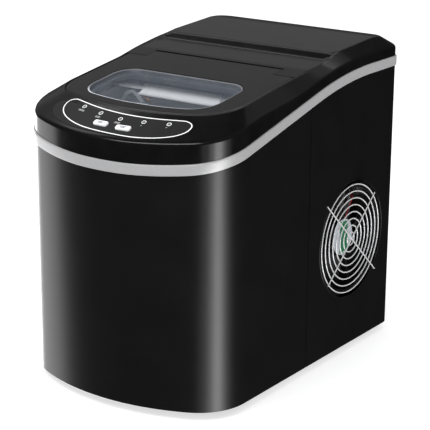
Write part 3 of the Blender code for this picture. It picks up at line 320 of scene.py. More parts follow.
def plan(shape, inset=0.0, back=None):
    """Points (x, y) of a bowed-front outline, anticlockwise from the front centre, mirror symmetric."""
    half, _, _, corner, rear, rear_corner = shape
    if back is not None:
        rear = back + inset
        rear_corner = inset + 0.4
    radius, arc_y, corner_x, corner_y, turn = bow(shape)
    points = []
    for i in range(29):
        a = turn * i / 28.0
        points.append(((radius - inset) * math.sin(a), arc_y - (radius - inset) * math.cos(a)))
    for i in range(1, 19):
        a = turn + (math.pi / 2.0 - turn) * i / 18.0
        points.append((corner_x + (corner - inset) * math.sin(a),
                       corner_y - (corner - inset) * math.cos(a)))
    last = rear - rear_corner
    for y in SIDE_ROWS:
        if corner_y + 0.5 < y < last - 0.5:
            points.append((half - inset, y))
    for i in range(9):
        a = math.pi / 2.0 * i / 8.0
        x = half - rear_corner + (rear_corner - inset) * math.cos(a)
        points.append((x, last + (rear_corner - inset) * math.sin(a)))
    points.append((0.0, rear - inset))
    left = [(-x, y) for x, y in reversed(points[1:-1])]
    return points + left


def polyline_height(y, rows):
    """Height of a broken line of (y, z) points."""
    if y <= rows[0][0]:
        return rows[0][1]
    for (y0, z0), (y1, z1) in zip(rows, rows[1:]):
        if y <= y1:
            return z0 + (z1 - z0) * (y - y0) / (y1 - y0)
    return rows[-1][1]


def deck_top(y, soft=2.0):
    """Height of the deck, with its breaks rounded over."""
    total = 0.0
    for k in range(9):
        total += polyline_height(y + soft * (k - 4) / 4.0, DECK_TOP)
    return total / 9.0


def band_low(y):
    """Lower edge of the trim band, which starts level at the front and ends level at the back."""
    y0, y1, y2, y3 = BAND_ROWS
    y = min(max(y, y0), y3)
    run = (min(y, y1) - y0) ** 2 / (2.0 * (y1 - y0))
    run += max(0.0, min(y, y2) - y1)
    over = max(0.0, y - y2)
    run += over - over * over / (2.0 * (y3 - y2))
    return BAND_FRONT_LOW + BAND_SLOPE * run


def band_high(y):
    t = clamp((y - BODY[1]) / 280.0)
    return band_low(y) + BAND_HEIGHT_FRONT + (BAND_HEIGHT_BACK - BAND_HEIGHT_FRONT) * t


def wrap_top(y):
    return 0.5 * (band_low(y) + band_high(y))


def crease(y):
    """Height of the crease between the skirt and the slope."""
    t = clamp((-20.0 - y) / 100.0)
    nose = clamp((-125.0 - y) / 54.0)
    return band_high(y) + 10.1 + 8.3 * t * t * (3.0 - 2.0 * t) + 2.7 * nose


def front_arc(shape, t):
    radius, arc_y, _, _, turn = bow(shape)
    a = turn * t
    return radius * math.sin(a), arc_y - radius * math.cos(a)


def slope_point(t, s):
    """Point of the front slope: t runs along the front from -1 to 1, s from the crease up to the lid."""
    ax, ay = front_arc(BODY, t)
    bx, by = front_arc(DECK, t)
    low = Vector((ax, ay, crease(ay)))
    high = Vector((bx, by, polyline_height(by, DECK_TOP)))
    return low.lerp(high, s)


def slope_frame_at(t, s):
    """Frame on the front slope: X along the front, Y up the slope, Z outwards."""
    along = (slope_point(t + 0.02, s) - slope_point(t - 0.02, s)).normalized()
    up = (slope_point(t, s + 0.02) - slope_point(t, s - 0.02)).normalized()
    out = along.cross(up).normalized()
    up = out.cross(along)
    frame = Matrix((along, up, out)).transposed().to_4x4()
    frame.translation = slope_point(t, s)
    return frame


def slope_frame(x, s):
    """Frame on the front slope at a distance x from the middle."""
    t = x / ((1.0 - s) * slope_point(0.5, 0.0).x * 2.0 + s * slope_point(0.5, 1.0).x * 2.0)
    return slope_frame_at(t, s)


def rounded_box(x0, y0, x1, y1, radius, steps=6):
    """Outline of a box with round corners."""
    points = []
    corners = ((x1 - radius, y0 + radius, -90), (x1 - radius, y1 - radius, 0),
               (x0 + radius, y1 - radius, 90), (x0 + radius, y0 + radius, 180))
    for cx, cy, start in corners:
        for i in range(steps + 1):
            a = math.radians(start + 90.0 * i / steps)
            points.append((cx + radius * math.cos(a), cy + radius * math.sin(a)))
    return points


def pill(half_x, half_y, radius, steps=6):
    """Rounded box about the origin."""
    return rounded_box(-half_x, -half_y, half_x, half_y, radius, steps)


def capsule(length, width, steps=8):
    """Outline with a half circle at each end."""
    points = []
    for side in (1.0, -1.0):
        for i in range(steps + 1):
            a = math.radians(-90.0 + 180.0 * i / steps)
            x = side * (length / 2.0 - width / 2.0 + width / 2.0 * math.cos(a))
            points.append((x, side * width / 2.0 * math.sin(a)))
    return points


def rounded_corner(before, corner, after, radius, steps=4):
    """Points of a small arc that replaces a corner."""
    to_before = before - corner
    to_after = after - corner
    first = corner + to_before.normalized() * min(radius, 0.45 * to_before.length)
    last = corner + to_after.normalized() * min(radius, 0.45 * to_after.length)
    points = []
    for i in range(steps + 1):
        t = i / steps
        points.append(first.lerp(corner, t).lerp(corner.lerp(last, t), t))
    return points


# ---------------------------------------------------------------- materials

def add_node(tree, kind, inputs, **settings):
    """New shader node; each input is a plain value or the socket that feeds it."""
    node = tree.nodes.new(kind)
    for name, value in settings.items():
        setattr(node, name, value)
    for socket, value in inputs.items():
        if isinstance(value, bpy.types.NodeSocket):
            tree.links.new(value, node.inputs[socket])
        else:
            node.inputs[socket].default_value = value
    return node


def map_range(tree, value, source, target, **settings):
    """Socket that carries a value from one range to another."""
    inputs = {"Value": value, "From Min": source[0], "From Max": source[1],
              "To Min": target[0], "To Max": target[1]}
    return add_node(tree, "ShaderNodeMapRange", inputs, **settings).outputs["Result"]


def noise_of(tree, spot, scale, detail):
    inputs = {"Vector": spot, "Scale": scale, "Detail": detail}
    return add_node(tree, "ShaderNodeTexNoise", inputs).outputs["Fac"]


def node_material(name, colours, roughness, grain, bump, bump_grain, metallic=0.0, stretch=(1.0, 1.0, 1.0),
                  alpha=1.0, coat=0.0, specular=0.5, glow=None):
    """Material whose colour, roughness and bump come from noise in the object's own coordinates."""
    material = bpy.data.materials.new(name)
    material.use_nodes = True
    tree = material.node_tree
    shader = tree.nodes["Principled BSDF"]
    place = add_node(tree, "ShaderNodeTexCoord", {})
    scale = add_node(tree, "ShaderNodeMapping", {"Vector": place.outputs["Object"], "Scale": stretch})
    spot = scale.outputs["Vector"]
    noise = noise_of(tree, spot, grain, 5.0)
    ramp = add_node(tree, "ShaderNodeValToRGB", {"Fac": noise})
    for element, position, colour in zip(ramp.color_ramp.elements, (0.3, 0.7), colours):
        element.position = position
        element.color = (*colour, 1.0)
    tree.links.new(ramp.outputs["Color"], shader.inputs["Base Color"])
    tree.links.new(map_range(tree, noise, (0.3, 0.7), roughness), shader.inputs["Roughness"])
    if bump:
        fine = noise_of(tree, spot, bump_grain, 2.0)
        relief = add_node(tree, "ShaderNodeBump", {"Height": fine, "Strength": bump, "Distance": 0.0004})
        tree.links.new(relief.outputs["Normal"], shader.inputs["Normal"])
    shader.inputs["Metallic"].default_value = metallic
    shader.inputs["Alpha"].default_value = alpha
    shader.inputs["Coat Weight"].default_value = coat
    shader.inputs["Coat Roughness"].default_value = 0.05
    shader.inputs["Specular IOR Level"].default_value = specular
    if glow:
        shader.inputs["Emission Color"].default_value = (*glow[0], 1.0)
        shader.inputs["Emission Strength"].default_value = glow[1]
    return material


def paint_light_along(material, axis, start, end, low):
    """Paint light and shade into a material: darken it along one of the object's own axes, down to a share
    of its colour.
    """
    tree = material.node_tree
    base = tree.nodes["Principled BSDF"].inputs["Base Color"]
    place = add_node(tree, "ShaderNodeTexCoord", {})
    split = add_node(tree, "ShaderNodeSeparateXYZ", {"Vector": place.outputs["Object"]})
    share = map_range(tree, split.outputs[axis], (start, end), (1.0, low), interpolation_type='SMOOTHSTEP')
    colour = base.links[0].from_socket
    fade = add_node(tree, "ShaderNodeMix", {0: 1.0, 6: colour, 7: share}, data_type='RGBA',
                    blend_type='MULTIPLY')
    tree.links.new(fade.outputs[2], base)


def make_materials():
    def colour(value):
        return (value, value, value * 1.01) if isinstance(value, float) else value

    materials = {}
    for key, (name, first, second, smooth, rough, grain, bump, bump_grain, options) in MATERIALS.items():
        colours = (colour(first), colour(second))
        materials[key] = node_material(name, colours, (smooth, rough), grain, bump, bump_grain, **options)
    # painted light and shade laid along the objects' own axes
    for key, axis, start, end, low in PAINTED_LIGHT_FADES:
        paint_light_along(materials[key], axis, start, end, low)
    return materials


# ---------------------------------------------------------------- mesh tools

def mesh_from(name, data):
    """Mesh made from a bmesh, which is used up."""
    mesh = bpy.data.meshes.new(name)
    data.to_mesh(mesh)
    data.free()
    return mesh


def linked(name, data):
    """Object that is in the scene."""
    obj = bpy.data.objects.new(name, data)
    bpy.context.collection.objects.link(obj)
    return obj


def shade(mesh, angle):
    mesh.shade_smooth()
    mesh.set_sharp_from_angle(angle=math.radians(angle))


def new_object(name, data, material=None, angle=35.0):
    """Object from a bmesh in millimetres."""
    bmesh.ops.scale(data, verts=data.verts[:], vec=(MM, MM, MM))
    mesh = mesh_from(name, data)
    if material:
        mesh.materials.append(material)
    shade(mesh, angle)
    return linked(name, mesh)


def bridged(data, low, high, closed=True):
    """Faces between two rows of points."""
    count = len(low)
    for k in range(count if closed else count - 1):
        n = (k + 1) % count
        data.faces.new((low[k], low[n], high[n], high[k]))


def run_at(path, k, closed):
    """Direction of a path of vectors at its point k."""
    count = len(path)
    before = path[(k - 1) % count] if closed or k else path[k]
    after = path[(k + 1) % count] if closed or k < count - 1 else path[k]
    return (after - before).normalized()


def facing_out(data):
    bmesh.ops.recalc_face_normals(data, faces=data.faces[:])
    return data


def lofted(rings, caps="strip"):
    """bmesh of a skin through rings, as many points as the first has; a strip cap joins k to its mirror."""
    data = bmesh.new()
    rows = [[data.verts.new(p) for p in ring] for ring in rings]
    count = len(rows[0])
    for low, high in zip(rows, rows[1:]):
        bridged(data, low[:count], high[:count])
    half = count // 2
    for row in (rows[0], rows[-1]):
        if caps == "flat":
            data.faces.new(row)
            continue
        data.faces.new((row[0], row[1], row[2], row[-2], row[-1]))
        for k in range(2, half - 2):
            data.faces.new((row[k], row[k + 1], row[-k - 1], row[-k]))
        data.faces.new(row[half - 2:half + 3])
    return facing_out(data)


def ring_at(outline, height):
    """Outline at one height, or at a height that follows y."""
    if callable(height):
        return [(x, y, height(y)) for x, y in outline]
    return [(x, y, height) for x, y in outline]


def swept(path, section, closed):
    """bmesh of a closed section carried along a level path.

    Each section entry is (distance inwards from the path, height as a function of y).
    """
    count = len(path)
    path = [Vector(p) for p in path]
    runs = [run_at(path, k, closed) for k in range(count)]
    data = bmesh.new()
    rows = []
    for inwards, height in section:
        row = []
        for spot, run in zip(path, runs):
            place = spot + Vector((-run.y, run.x)) * inwards
            row.append(data.verts.new((place.x, place.y, height(spot.y))))
        rows.append(row)
    last = count if closed else count - 1
    for k in range(last):
        n = (k + 1) % count
        for a, b in zip(rows, rows[1:] + rows[:1]):
            data.faces.new((a[k], a[n], b[n], b[k]))
    if not closed:
        data.faces.new([row[0] for row in rows])
        data.faces.new([row[-1] for row in rows])
    return facing_out(data)


def turned(profile, centre, axis, sides=48):
    """bmesh of a solid of revolution; a profile that leaves the axis is a closed ring section."""
    data = bmesh.new()
    turn = Vector((0.0, 0.0, 1.0)).rotation_difference(Vector(axis)).to_matrix()
    centre = Vector(centre)
    rows = []
    for radius, along in profile:
        if radius == 0.0:
            rows.append([data.verts.new(centre + turn @ Vector((0.0, 0.0, along)))])
            continue
        row = []
        for i in range(sides):
            a = 2.0 * math.pi * i / sides
            spot = Vector((radius * math.cos(a), radius * math.sin(a), along))
            row.append(data.verts.new(centre + turn @ spot))
        rows.append(row)
    following = rows[1:] if profile[0][0] == 0.0 else rows[1:] + rows[:1]
    for low, high in zip(rows, following):
        for k in range(sides):
            n = (k + 1) % sides
            corners = [low[k % len(low)], low[n % len(low)], high[n % len(high)], high[k % len(high)]]
            data.faces.new(list(dict.fromkeys(corners)))
    return facing_out(data)


def box_data(pairs):
    """bmesh of boxes, each given by two opposite corners."""
    data = bmesh.new()
    for low, high in pairs:
        made = bmesh.ops.create_cube(data, size=1.0)["verts"]
        bmesh.ops.scale(data, verts=made, vec=Vector(high) - Vector(low))
        bmesh.ops.translate(data, verts=made, vec=(Vector(low) + Vector(high)) / 2.0)
    return data


def rod_data(start, end, radius, sides=32):
    """bmesh of a round rod."""
    direction = Vector(end) - Vector(start)
    profile = ((0.0, 0.0), (radius, 0.0), (radius, direction.length), (0.0, direction.length))
    return turned(profile, start, direction.normalized(), sides)


def prism_data(outline, low, high):
    return lofted([ring_at(outline, low), ring_at(outline, high)], caps="flat")


def tube_data(path, radius, sides=12, closed=False):
    """bmesh of a round tube along a list of points, its section carried without twist."""
    points = [Vector(p) for p in path]
    count = len(points)
    data = bmesh.new()
    rows = []
    side = None
    for k in range(count):
        run = run_at(points, k, closed)
        if side is None:
            side = run.orthogonal().normalized()
        side = (side - run * side.dot(run)).normalized()
        other = run.cross(side)
        rows.append([data.verts.new(points[k] + radius * (math.cos(2.0 * math.pi * i / sides) * side
                                                          + math.sin(2.0 * math.pi * i / sides) * other))
                     for i in range(sides)])
    last = count if closed else count - 1
    for k in range(last):
        low, high = rows[k], rows[(k + 1) % count]
        shift = 0
        if closed and k == count - 1:
            shift = min(range(sides), key=lambda s: (low[0].co - high[s].co).length)
        for i in range(sides):
            n = (i + 1) % sides
            data.faces.new((low[i], low[n], high[(n + shift) % sides], high[(i + shift) % sides]))
    if not closed:
        data.faces.new(rows[0])
        data.faces.new(rows[-1])
    return facing_out(data)


def smooth_path(knots, steps=8):
    """Points of a smooth curve through the knots."""
    knots = [Vector(k) for k in knots]
    ends = [2.0 * knots[0] - knots[1]] + knots + [2.0 * knots[-1] - knots[-2]]
    points = []
    for i in range(1, len(ends) - 2):
        p0, p1, p2, p3 = ends[i - 1:i + 3]
        for step in range(steps):
            t = step / steps
            points.append(0.5 * (2.0 * p1 + (p2 - p0) * t + (2.0 * p0 - 5.0 * p1 + 4.0 * p2 - p3) * t * t
                                 + (3.0 * p1 - p0 - 3.0 * p2 + p3) * t ** 3))
    points.append(knots[-1])
    return points


def merged(parts):
    """One bmesh from several, which are used up."""
    whole = bmesh.new()
    for part in parts:
        mesh = mesh_from("part", part)
        whole.from_mesh(mesh)
        bpy.data.meshes.remove(mesh)
    return whole


def cut(obj, *cutters, join=()):
    """Join and cut an object with bmeshes, and keep the result as its own mesh."""
    tools = []
    for mode, parts in (('UNION', join), ('DIFFERENCE', cutters)):
        for data in parts:
            tool = new_object("tool", data)
            tools.append(tool)
            modifier = obj.modifiers.new("tool", 'BOOLEAN')
            modifier.operation = mode
            modifier.solver = 'EXACT'
            modifier.object = tool
    bpy.context.view_layer.update()
    depsgraph = bpy.context.evaluated_depsgraph_get()
    mesh = bpy.data.meshes.new_from_object(obj.evaluated_get(depsgraph))
    obj.modifiers.clear()
    unused = [obj.data]
    obj.data = mesh
    for tool in tools:
        unused.append(tool.data)
        bpy.data.objects.remove(tool)
    for mesh in unused:
        bpy.data.meshes.remove(mesh)


def even_normals(obj):
    """Shading normals that follow the large faces, so that flat parts look flat up to their edges."""
    modifier = obj.modifiers.new("normals", 'WEIGHTED_NORMAL')
    modifier.mode = 'FACE_AREA'
    modifier.weight = 80
    modifier.keep_sharp = True


def round_edges(obj, width, angle=35.0, segments=3):
    """Small radius on every edge sharper than the angle."""
    data = bmesh.new()
    data.from_mesh(obj.data)
    bmesh.ops.remove_doubles(data, verts=data.verts[:], dist=WELD)
    bmesh.ops.dissolve_limit(data, angle_limit=math.radians(0.4), verts=data.verts[:], edges=data.edges[:])
    limit = math.radians(angle)
    sharp = [e for e in data.edges if len(e.link_faces) == 2 and e.calc_face_angle(0.0) > limit]
    bmesh.ops.bevel(data, geom=sharp, offset=width * MM, segments=segments, profile=0.5, affect='EDGES',
                    clamp_overlap=True)
    mesh = mesh_from(obj.name, facing_out(data))
    for material in obj.data.materials:
        mesh.materials.append(material)
    shade(mesh, 40.0)
    obj.data = mesh
    even_normals(obj)


class Kit:
    """The frame and the materials at hand, with the calls that place a finished piece."""

    def __init__(self, loaded):
        self.frame = loaded
        self.m = make_materials()
        self.slots = {s["node"]: s["material_slot"] for s in loaded["record"]["subparts"]}
        self.body_of = {n: b for b, nodes in loaded["record"]["behaviour"]["bodies"].items() for n in nodes}

    def place(self, obj, body, nodes=(), slot=None):
        """Say what a finished piece rides and replaces."""
        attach(obj, body)
        if nodes:
            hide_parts(*nodes)
            slot = slot or self.slots[nodes[0]]

    def piece(self, name, data, material, body="cabinet", nodes=(), slot=None, angle=35.0):
        self.place(new_object(name, data, self.m[material], angle), body, nodes, slot)

    def refined(self, node, name, material, width=0.5, angle=30.0, segments=2):
        """Piece made from a CAD node's own shape, with its edges rounded."""
        source = self.frame["nodes"][node].data
        data = bmesh.new()
        spots = [data.verts.new(v.co) for v in source.vertices]
        for polygon in source.polygons:
            data.faces.new([spots[i] for i in polygon.vertices])
        bmesh.ops.remove_doubles(data, verts=data.verts[:], dist=WELD)
        mesh = mesh_from(name, data)
        mesh.materials.append(self.m[material])
        obj = linked(name, mesh)
        if width:
            round_edges(obj, width, angle, segments)
        else:
            shade(mesh, angle)
        self.place(obj, self.body_of[node], (node,))


# ---------------------------------------------------------------- wraps, band and feet

def wrap_path(front_part):
    """Level path of a wrap from the +X side to the -X side, its ends curled in at the side seams."""
    outline = plan(BODY)
    half = len(outline) // 2
    side = BODY[0]
    if front_part:
        right = [p for p in outline[:half] if p[1] < PANEL_SPLIT - 2.0]
        left = [p for p in outline[half:] if p[1] < PANEL_SPLIT - 2.0]
        edge = PANEL_SPLIT - SEAM
        start = [(side - x, edge - y) for x, y in SEAM_CURL]
        return start + right[::-1] + left[::-1] + [(-x, y) for x, y in reversed(start)]
    rear = [p for p in outline if p[1] > PANEL_SPLIT + 2.0]
    start = [(side - x, PANEL_SPLIT + SEAM + y) for x, y in SEAM_CURL]
    return start + rear + [(-x, y) for x, y in reversed(start)]


def sheet_section(low, high, thick, outside):
    """Section of a sheet edge to edge, its inner face at a distance inwards (the sign gives the side)."""
    r = SHEET_ROUND
    return ((outside * r, lambda y: low(y)), (0.0, lambda y: low(y) + r), (0.0, lambda y: high(y) - r),
            (outside * r, lambda y: high(y)), (outside * (thick - r), lambda y: high(y)),
            (outside * thick, lambda y: high(y) - r), (outside * thick, lambda y: low(y) + r),
            (outside * (thick - r), lambda y: low(y)))


def make_wraps(kit):
    def foot(_):
        return FLOOR_CLEARANCE

    front = swept(wrap_path(True), sheet_section(foot, wrap_top, SKIN, -1.0), False)
    kit.piece("wrap_front", front, "wrap", nodes=("front_wrap",))

    rear_data = swept(wrap_path(False), sheet_section(foot, wrap_top, SKIN, 1.0), False)
    rear = new_object("wrap_rear", rear_data, kit.m["wrap"])
    vents = []
    for row in range(VENT_ROWS):
        low = VENT_FIRST + VENT_PITCH * row - VENT_HALF
        high = VENT_FIRST + VENT_PITCH * row + VENT_HALF
        side = rounded_box(55.0, low, 125.0, high, VENT_ROUND, 5)
        vents.append(lofted([[(x, p, q) for p, q in side] for x in (-140.0, -110.0)], caps="flat"))
        back = rounded_box(-60.0, low, 60.0, high, VENT_ROUND, 5)
        vents.append(lofted([[(p, y, q) for p, q in back] for y in (170.0, 190.0)], caps="flat"))
    y, z = FAN_CENTRE
    fan_hole = rod_data((100.0, y, z), (140.0, y, z), FAN_HOLE_RADIUS, 96)
    x, z = GLAND_SPOT
    gland_hole = rod_data((x, 160.0, z), (x, 190.0, z), GLAND_HOLE_RADIUS, 32)
    cut(rear, fan_hole, merged(vents), gland_hole)
    shade(rear.data, 35.0)
    even_normals(rear)
    kit.place(rear, "cabinet", ("rear_wrap",))

    face = BODY[4] + GAP
    for index, (x, z) in enumerate(SCREW_SPOTS, 1):
        head = turned(SCREW_PROFILE, (x, face, z), (0, 1, 0), 32)
        screw = new_object(f"rear_screw_head_{index}", head, kit.m["steel"])
        for wide, high in (SCREW_SLOT, SCREW_SLOT[::-1]):
            cut(screw, box_data([((x - wide, face + 0.4, z - high), (x + wide, face + 2.0, z + high))]))
        kit.place(screw, "cabinet", (f"rear_screw_{index}",))


def make_band(kit):
    """Satin trim with a soft crown, closed all the way round."""
    section = []
    for out, up in BAND_CROWN:
        section.append((-out, lambda y, up=up: band_low(y) + up))
    section.append((-BAND_CROWN_TOP, wrap_top))
    for out, up in reversed(BAND_CROWN):
        section.append((-out, lambda y, up=up: band_high(y) - up))
    kit.piece("trim_band_satin", swept(plan(BODY), section, True), "trim", nodes=("trim_band",))


def make_base(kit):
    kit.refined("base_pan", "base_pan_moulded", "dark", 0.8)
    for end in ("front", "rear"):
        for side in ("left", "right"):
            name = f"foot_{end}_{side}"
            kit.refined(name, f"{name}_rubber", "rubber", 0.9, segments=3)
    kit.refined("cord_gland", "cord_gland_ring", "rubber", 0.5)


# ---------------------------------------------------------------- top housing

def shoulder_top(y):
    """Height of the deck's edge, which passes the step in the deck as one soft curve."""
    return deck_top(y, 2.0 + STEP_SOFT * max(0.0, 1.0 - abs(y - STEP_MIDDLE) / STEP_REACH))


def shoulder_rings(outer, edge, foot):
    """Rings up the skirt, round the crease, up the shoulder and round the deck's edge."""
    columns = []
    inner = plan(DECK, 7.0)
    for (ox, oy), (ex, ey), (ix, iy) in zip(outer, edge, inner):
        bottom = Vector((ox, oy, foot(oy)))
        fold = Vector((ox, oy, crease(oy)))
        lip = Vector((ex, ey, shoulder_top(ey)))
        over = Vector((ix, iy, deck_top(iy)))
        column = [bottom]
        column += rounded_corner(bottom, fold, lip, CREASE_RADIUS, 5)
        column += rounded_corner(fold, lip, over, DECK_EDGE_RADIUS, 5)
        column.append(over)
        columns.append(column)
    return [[column[k] for column in columns] for k in range(len(columns[0]))]


def side_boxes(half, front):
    """Two boxes beside the lid's tongue, from its half width out."""
    return box_data([((-120.0, front, 280.0), (-half, NOTCH_BACK, 350.0)),
                     ((half, front, 280.0), (120.0, NOTCH_BACK, 350.0))])


def slope_holes(spots, outline, depths):
    """Cutters for holes of one outline, square to the slope at each spot."""
    return [framed(prism_data(outline, *depths), slope_frame(x, s)) for x, s in spots]


def make_top_housing(kit):
    edge = plan(DECK)
    inside = plan(BODY, 3.0)

    def foot(y):
        return wrap_top(y) + GAP

    def under(y):
        return polyline_height(y, DECK_TOP) - (12.0 if y < 30.0 else 3.0)

    rings = shoulder_rings(plan(BODY), edge, foot)[::-1]
    rings += [ring_at(inside, foot), ring_at(inside, lambda y: crease(y) - 2.0), ring_at(edge, under)]
    housing = new_object("top_housing_shell", lofted(rings), kit.m["shell"])

    recess_plan = plan(DECK, 0.6, back=CHANNEL_BACK)
    rings = [ring_at(recess_plan, lambda y: polyline_height(y, DECK_TOP) - 6.0),
             ring_at(recess_plan, ABOVE_ALL)]
    recess = new_object("recess", lofted(rings))
    half = TONGUE_HALF + TONGUE_GAP
    cut(recess, side_boxes(half, NOTCH_FRONT + 1.0))
    recess_data = bmesh.new()
    recess_data.from_mesh(recess.data)
    bmesh.ops.scale(recess_data, verts=recess_data.verts[:], vec=(1.0 / MM, 1.0 / MM, 1.0 / MM))
    bpy.data.objects.remove(recess)
    channel = box_data([((-half, HINGE_Y - BARREL_RADIUS - 0.9, HINGE_Z - BARREL_RADIUS - 0.6),
                         (half, CHANNEL_BACK, ABOVE_ALL))])
    mouth = prism_data(rounded_box(-86.0, -126.0, 86.0, 3.0, 20.0, 12), CUT_LOW, ABOVE_ALL)
    cut(housing, recess_data, channel, mouth,
        *slope_holes(BUTTON_SPOTS, capsule(*BUTTON_HOLE), HOUSING_CUT),
        *slope_holes(LAMP_SPOTS, capsule(*LAMP_HOLE), HOUSING_CUT))
    round_edges(housing, 0.45, 50.0, 2)
    kit.place(housing, "cabinet", ("top_housing",))


# ---------------------------------------------------------------- lid and window

def hinge_rod(x0, x1, radius, sides):
    """bmesh of a rod on the hinge line."""
    return rod_data((x0, HINGE_Y, HINGE_Z), (x1, HINGE_Y, HINGE_Z), radius, sides)


def make_lid(kit):
    def ring(shape, inset, drop, back=None):
        return ring_at(plan(shape, inset, back), lambda y: deck_top(y) - drop)

    rings = [ring(DECK, 1.0 + inset, drop, HINGE_Y) for inset, drop in ((0.0, LID_DEPTH), *LID_RIM)]
    lid = new_object("lid_shell", lofted(rings), kit.m["lid"])
    barrel = hinge_rod(-TONGUE_HALF, TONGUE_HALF, BARREL_RADIUS + 0.15, 48)
    hole = prism_data(plan(WINDOW), CUT_LOW, ABOVE_ALL)
    bores = merged(hinge_rod(x0, x1, PIN_RADIUS + GAP, 24) for x0, x1 in ((-90.0, -68.0), (68.0, 90.0)))
    cut(lid, side_boxes(TONGUE_HALF, NOTCH_FRONT), hole, bores, join=(barrel,))
    round_edges(lid, 0.5, 50.0, 2)
    kit.place(lid, "lid", ("lid_frame",))

    rings = [ring(WINDOW, *p) for p in WINDOW_TOP[::-1] + WINDOW_BOTTOM]
    data = lofted(rings)
    data.faces.ensure_lookup_table()
    count = len(rings[0])
    for band, (inset, _) in enumerate(WINDOW_TOP[::-1]):
        index = 2 if inset <= LIP_INSET else int(inset <= LEDGE_INSET)
        for k in range(count):
            data.faces[band * count + k].material_index = index
    window = new_object("lid_window_clear", data, kit.m["window"], 60.0)
    window.data.materials.append(kit.m["ledge"])
    window.data.materials.append(kit.m["lip"])
    kit.place(window, "lid", ("lid_window",))

    for side, x0, x1 in (("left", -97.0, -69.0), ("right", 69.0, 97.0)):
        length = x1 - x0
        profile = ((0.0, 0.0), (1.2, 0.0), (PIN_RADIUS, 0.3), (PIN_RADIUS, length - 0.3), (1.2, length),
                   (0.0, length))
        data = turned(profile, (x0, HINGE_Y, HINGE_Z), (1, 0, 0), 24)
        kit.piece(f"hinge_pin_steel_{side}", data, "steel", nodes=(f"hinge_pin_{side}",))


# ---------------------------------------------------------------- control panel

def panel_loop(grow=0.0):
    """Closed outline of the panel in slope coordinates (t, s), grown by a distance in millimetres."""
    right = [(p.x, p.y) for p in smooth_path([(t, s, 0.0) for t, s in PANEL_KNOTS], 6)]
    loop = right + [(-t, s) for t, s in reversed(right[1:-1])]
    grown = []
    for k, (t, s) in enumerate(loop):
        a = loop[k - 1]
        b = loop[(k + 1) % len(loop)]
        run = Vector(((b[0] - a[0]) * PANEL_ACROSS, (b[1] - a[1]) * PANEL_UP)).normalized()
        t += grow * run.y / PANEL_ACROSS
        s -= grow * run.x / PANEL_UP
        grown.append((t + PANEL_CENTRE, s + PANEL_TILT * t + PANEL_SHIFT))
    return grown


def on_slope(t, s, lift):
    """Point above the slope."""
    return slope_frame_at(t, s) @ Vector((0.0, 0.0, lift))


def make_film(kit):
    """Thin printed film that follows the curved slope, with holes for the buttons and the lamps."""
    loop = panel_loop(0.3)
    half = len(loop) // 2
    right = loop[:half + 1]
    rows_across = 10
    data = bmesh.new()
    layers = []
    for lift in (FILM_LOW, FILM_TOP):
        rows = []
        for k in range(1, half):
            t, s = right[k]
            rows.append([data.verts.new(on_slope(t * (1.0 - 2.0 * j / rows_across), s, lift))
                         for j in range(rows_across + 1)])
        layers.append(rows)
    for rows in layers:
        for low, high in zip(rows, rows[1:]):
            bridged(data, low, high, False)
    low, high = layers
    for k in range(len(low) - 1):
        for j in (0, rows_across):
            data.faces.new((low[k][j], low[k + 1][j], high[k + 1][j], high[k][j]))
    for k in (0, -1):
        bridged(data, low[k], high[k], False)
    film = new_object("panel_film", facing_out(data), kit.m["film"])
    cut(film, *slope_holes(BUTTON_SPOTS, pill(*BUTTON_FILM_HOLE), FILM_CUT),
        *slope_holes(LAMP_SPOTS, capsule(*LAMP_FILM_HOLE), FILM_CUT))
    shade(film.data, 35.0)
    even_normals(film)
    kit.place(film, "cabinet", ("panel_overlay",))


def ribbon_on_slope(outside, inside, low, high):
    """bmesh of a closed printed line between two loops of slope coordinates."""
    data = bmesh.new()
    rows = []
    for loop, lift in ((outside, low), (outside, high), (inside, high), (inside, low)):
        rows.append([data.verts.new(on_slope(t, s, lift)) for t, s in loop])
    for low_row, high_row in zip(rows, rows[1:] + rows[:1]):
        bridged(data, low_row, high_row)
    return facing_out(data)


def framed(data, frame):
    """The bmesh, moved into a frame."""
    bmesh.ops.transform(data, matrix=frame, verts=data.verts[:])
    return data


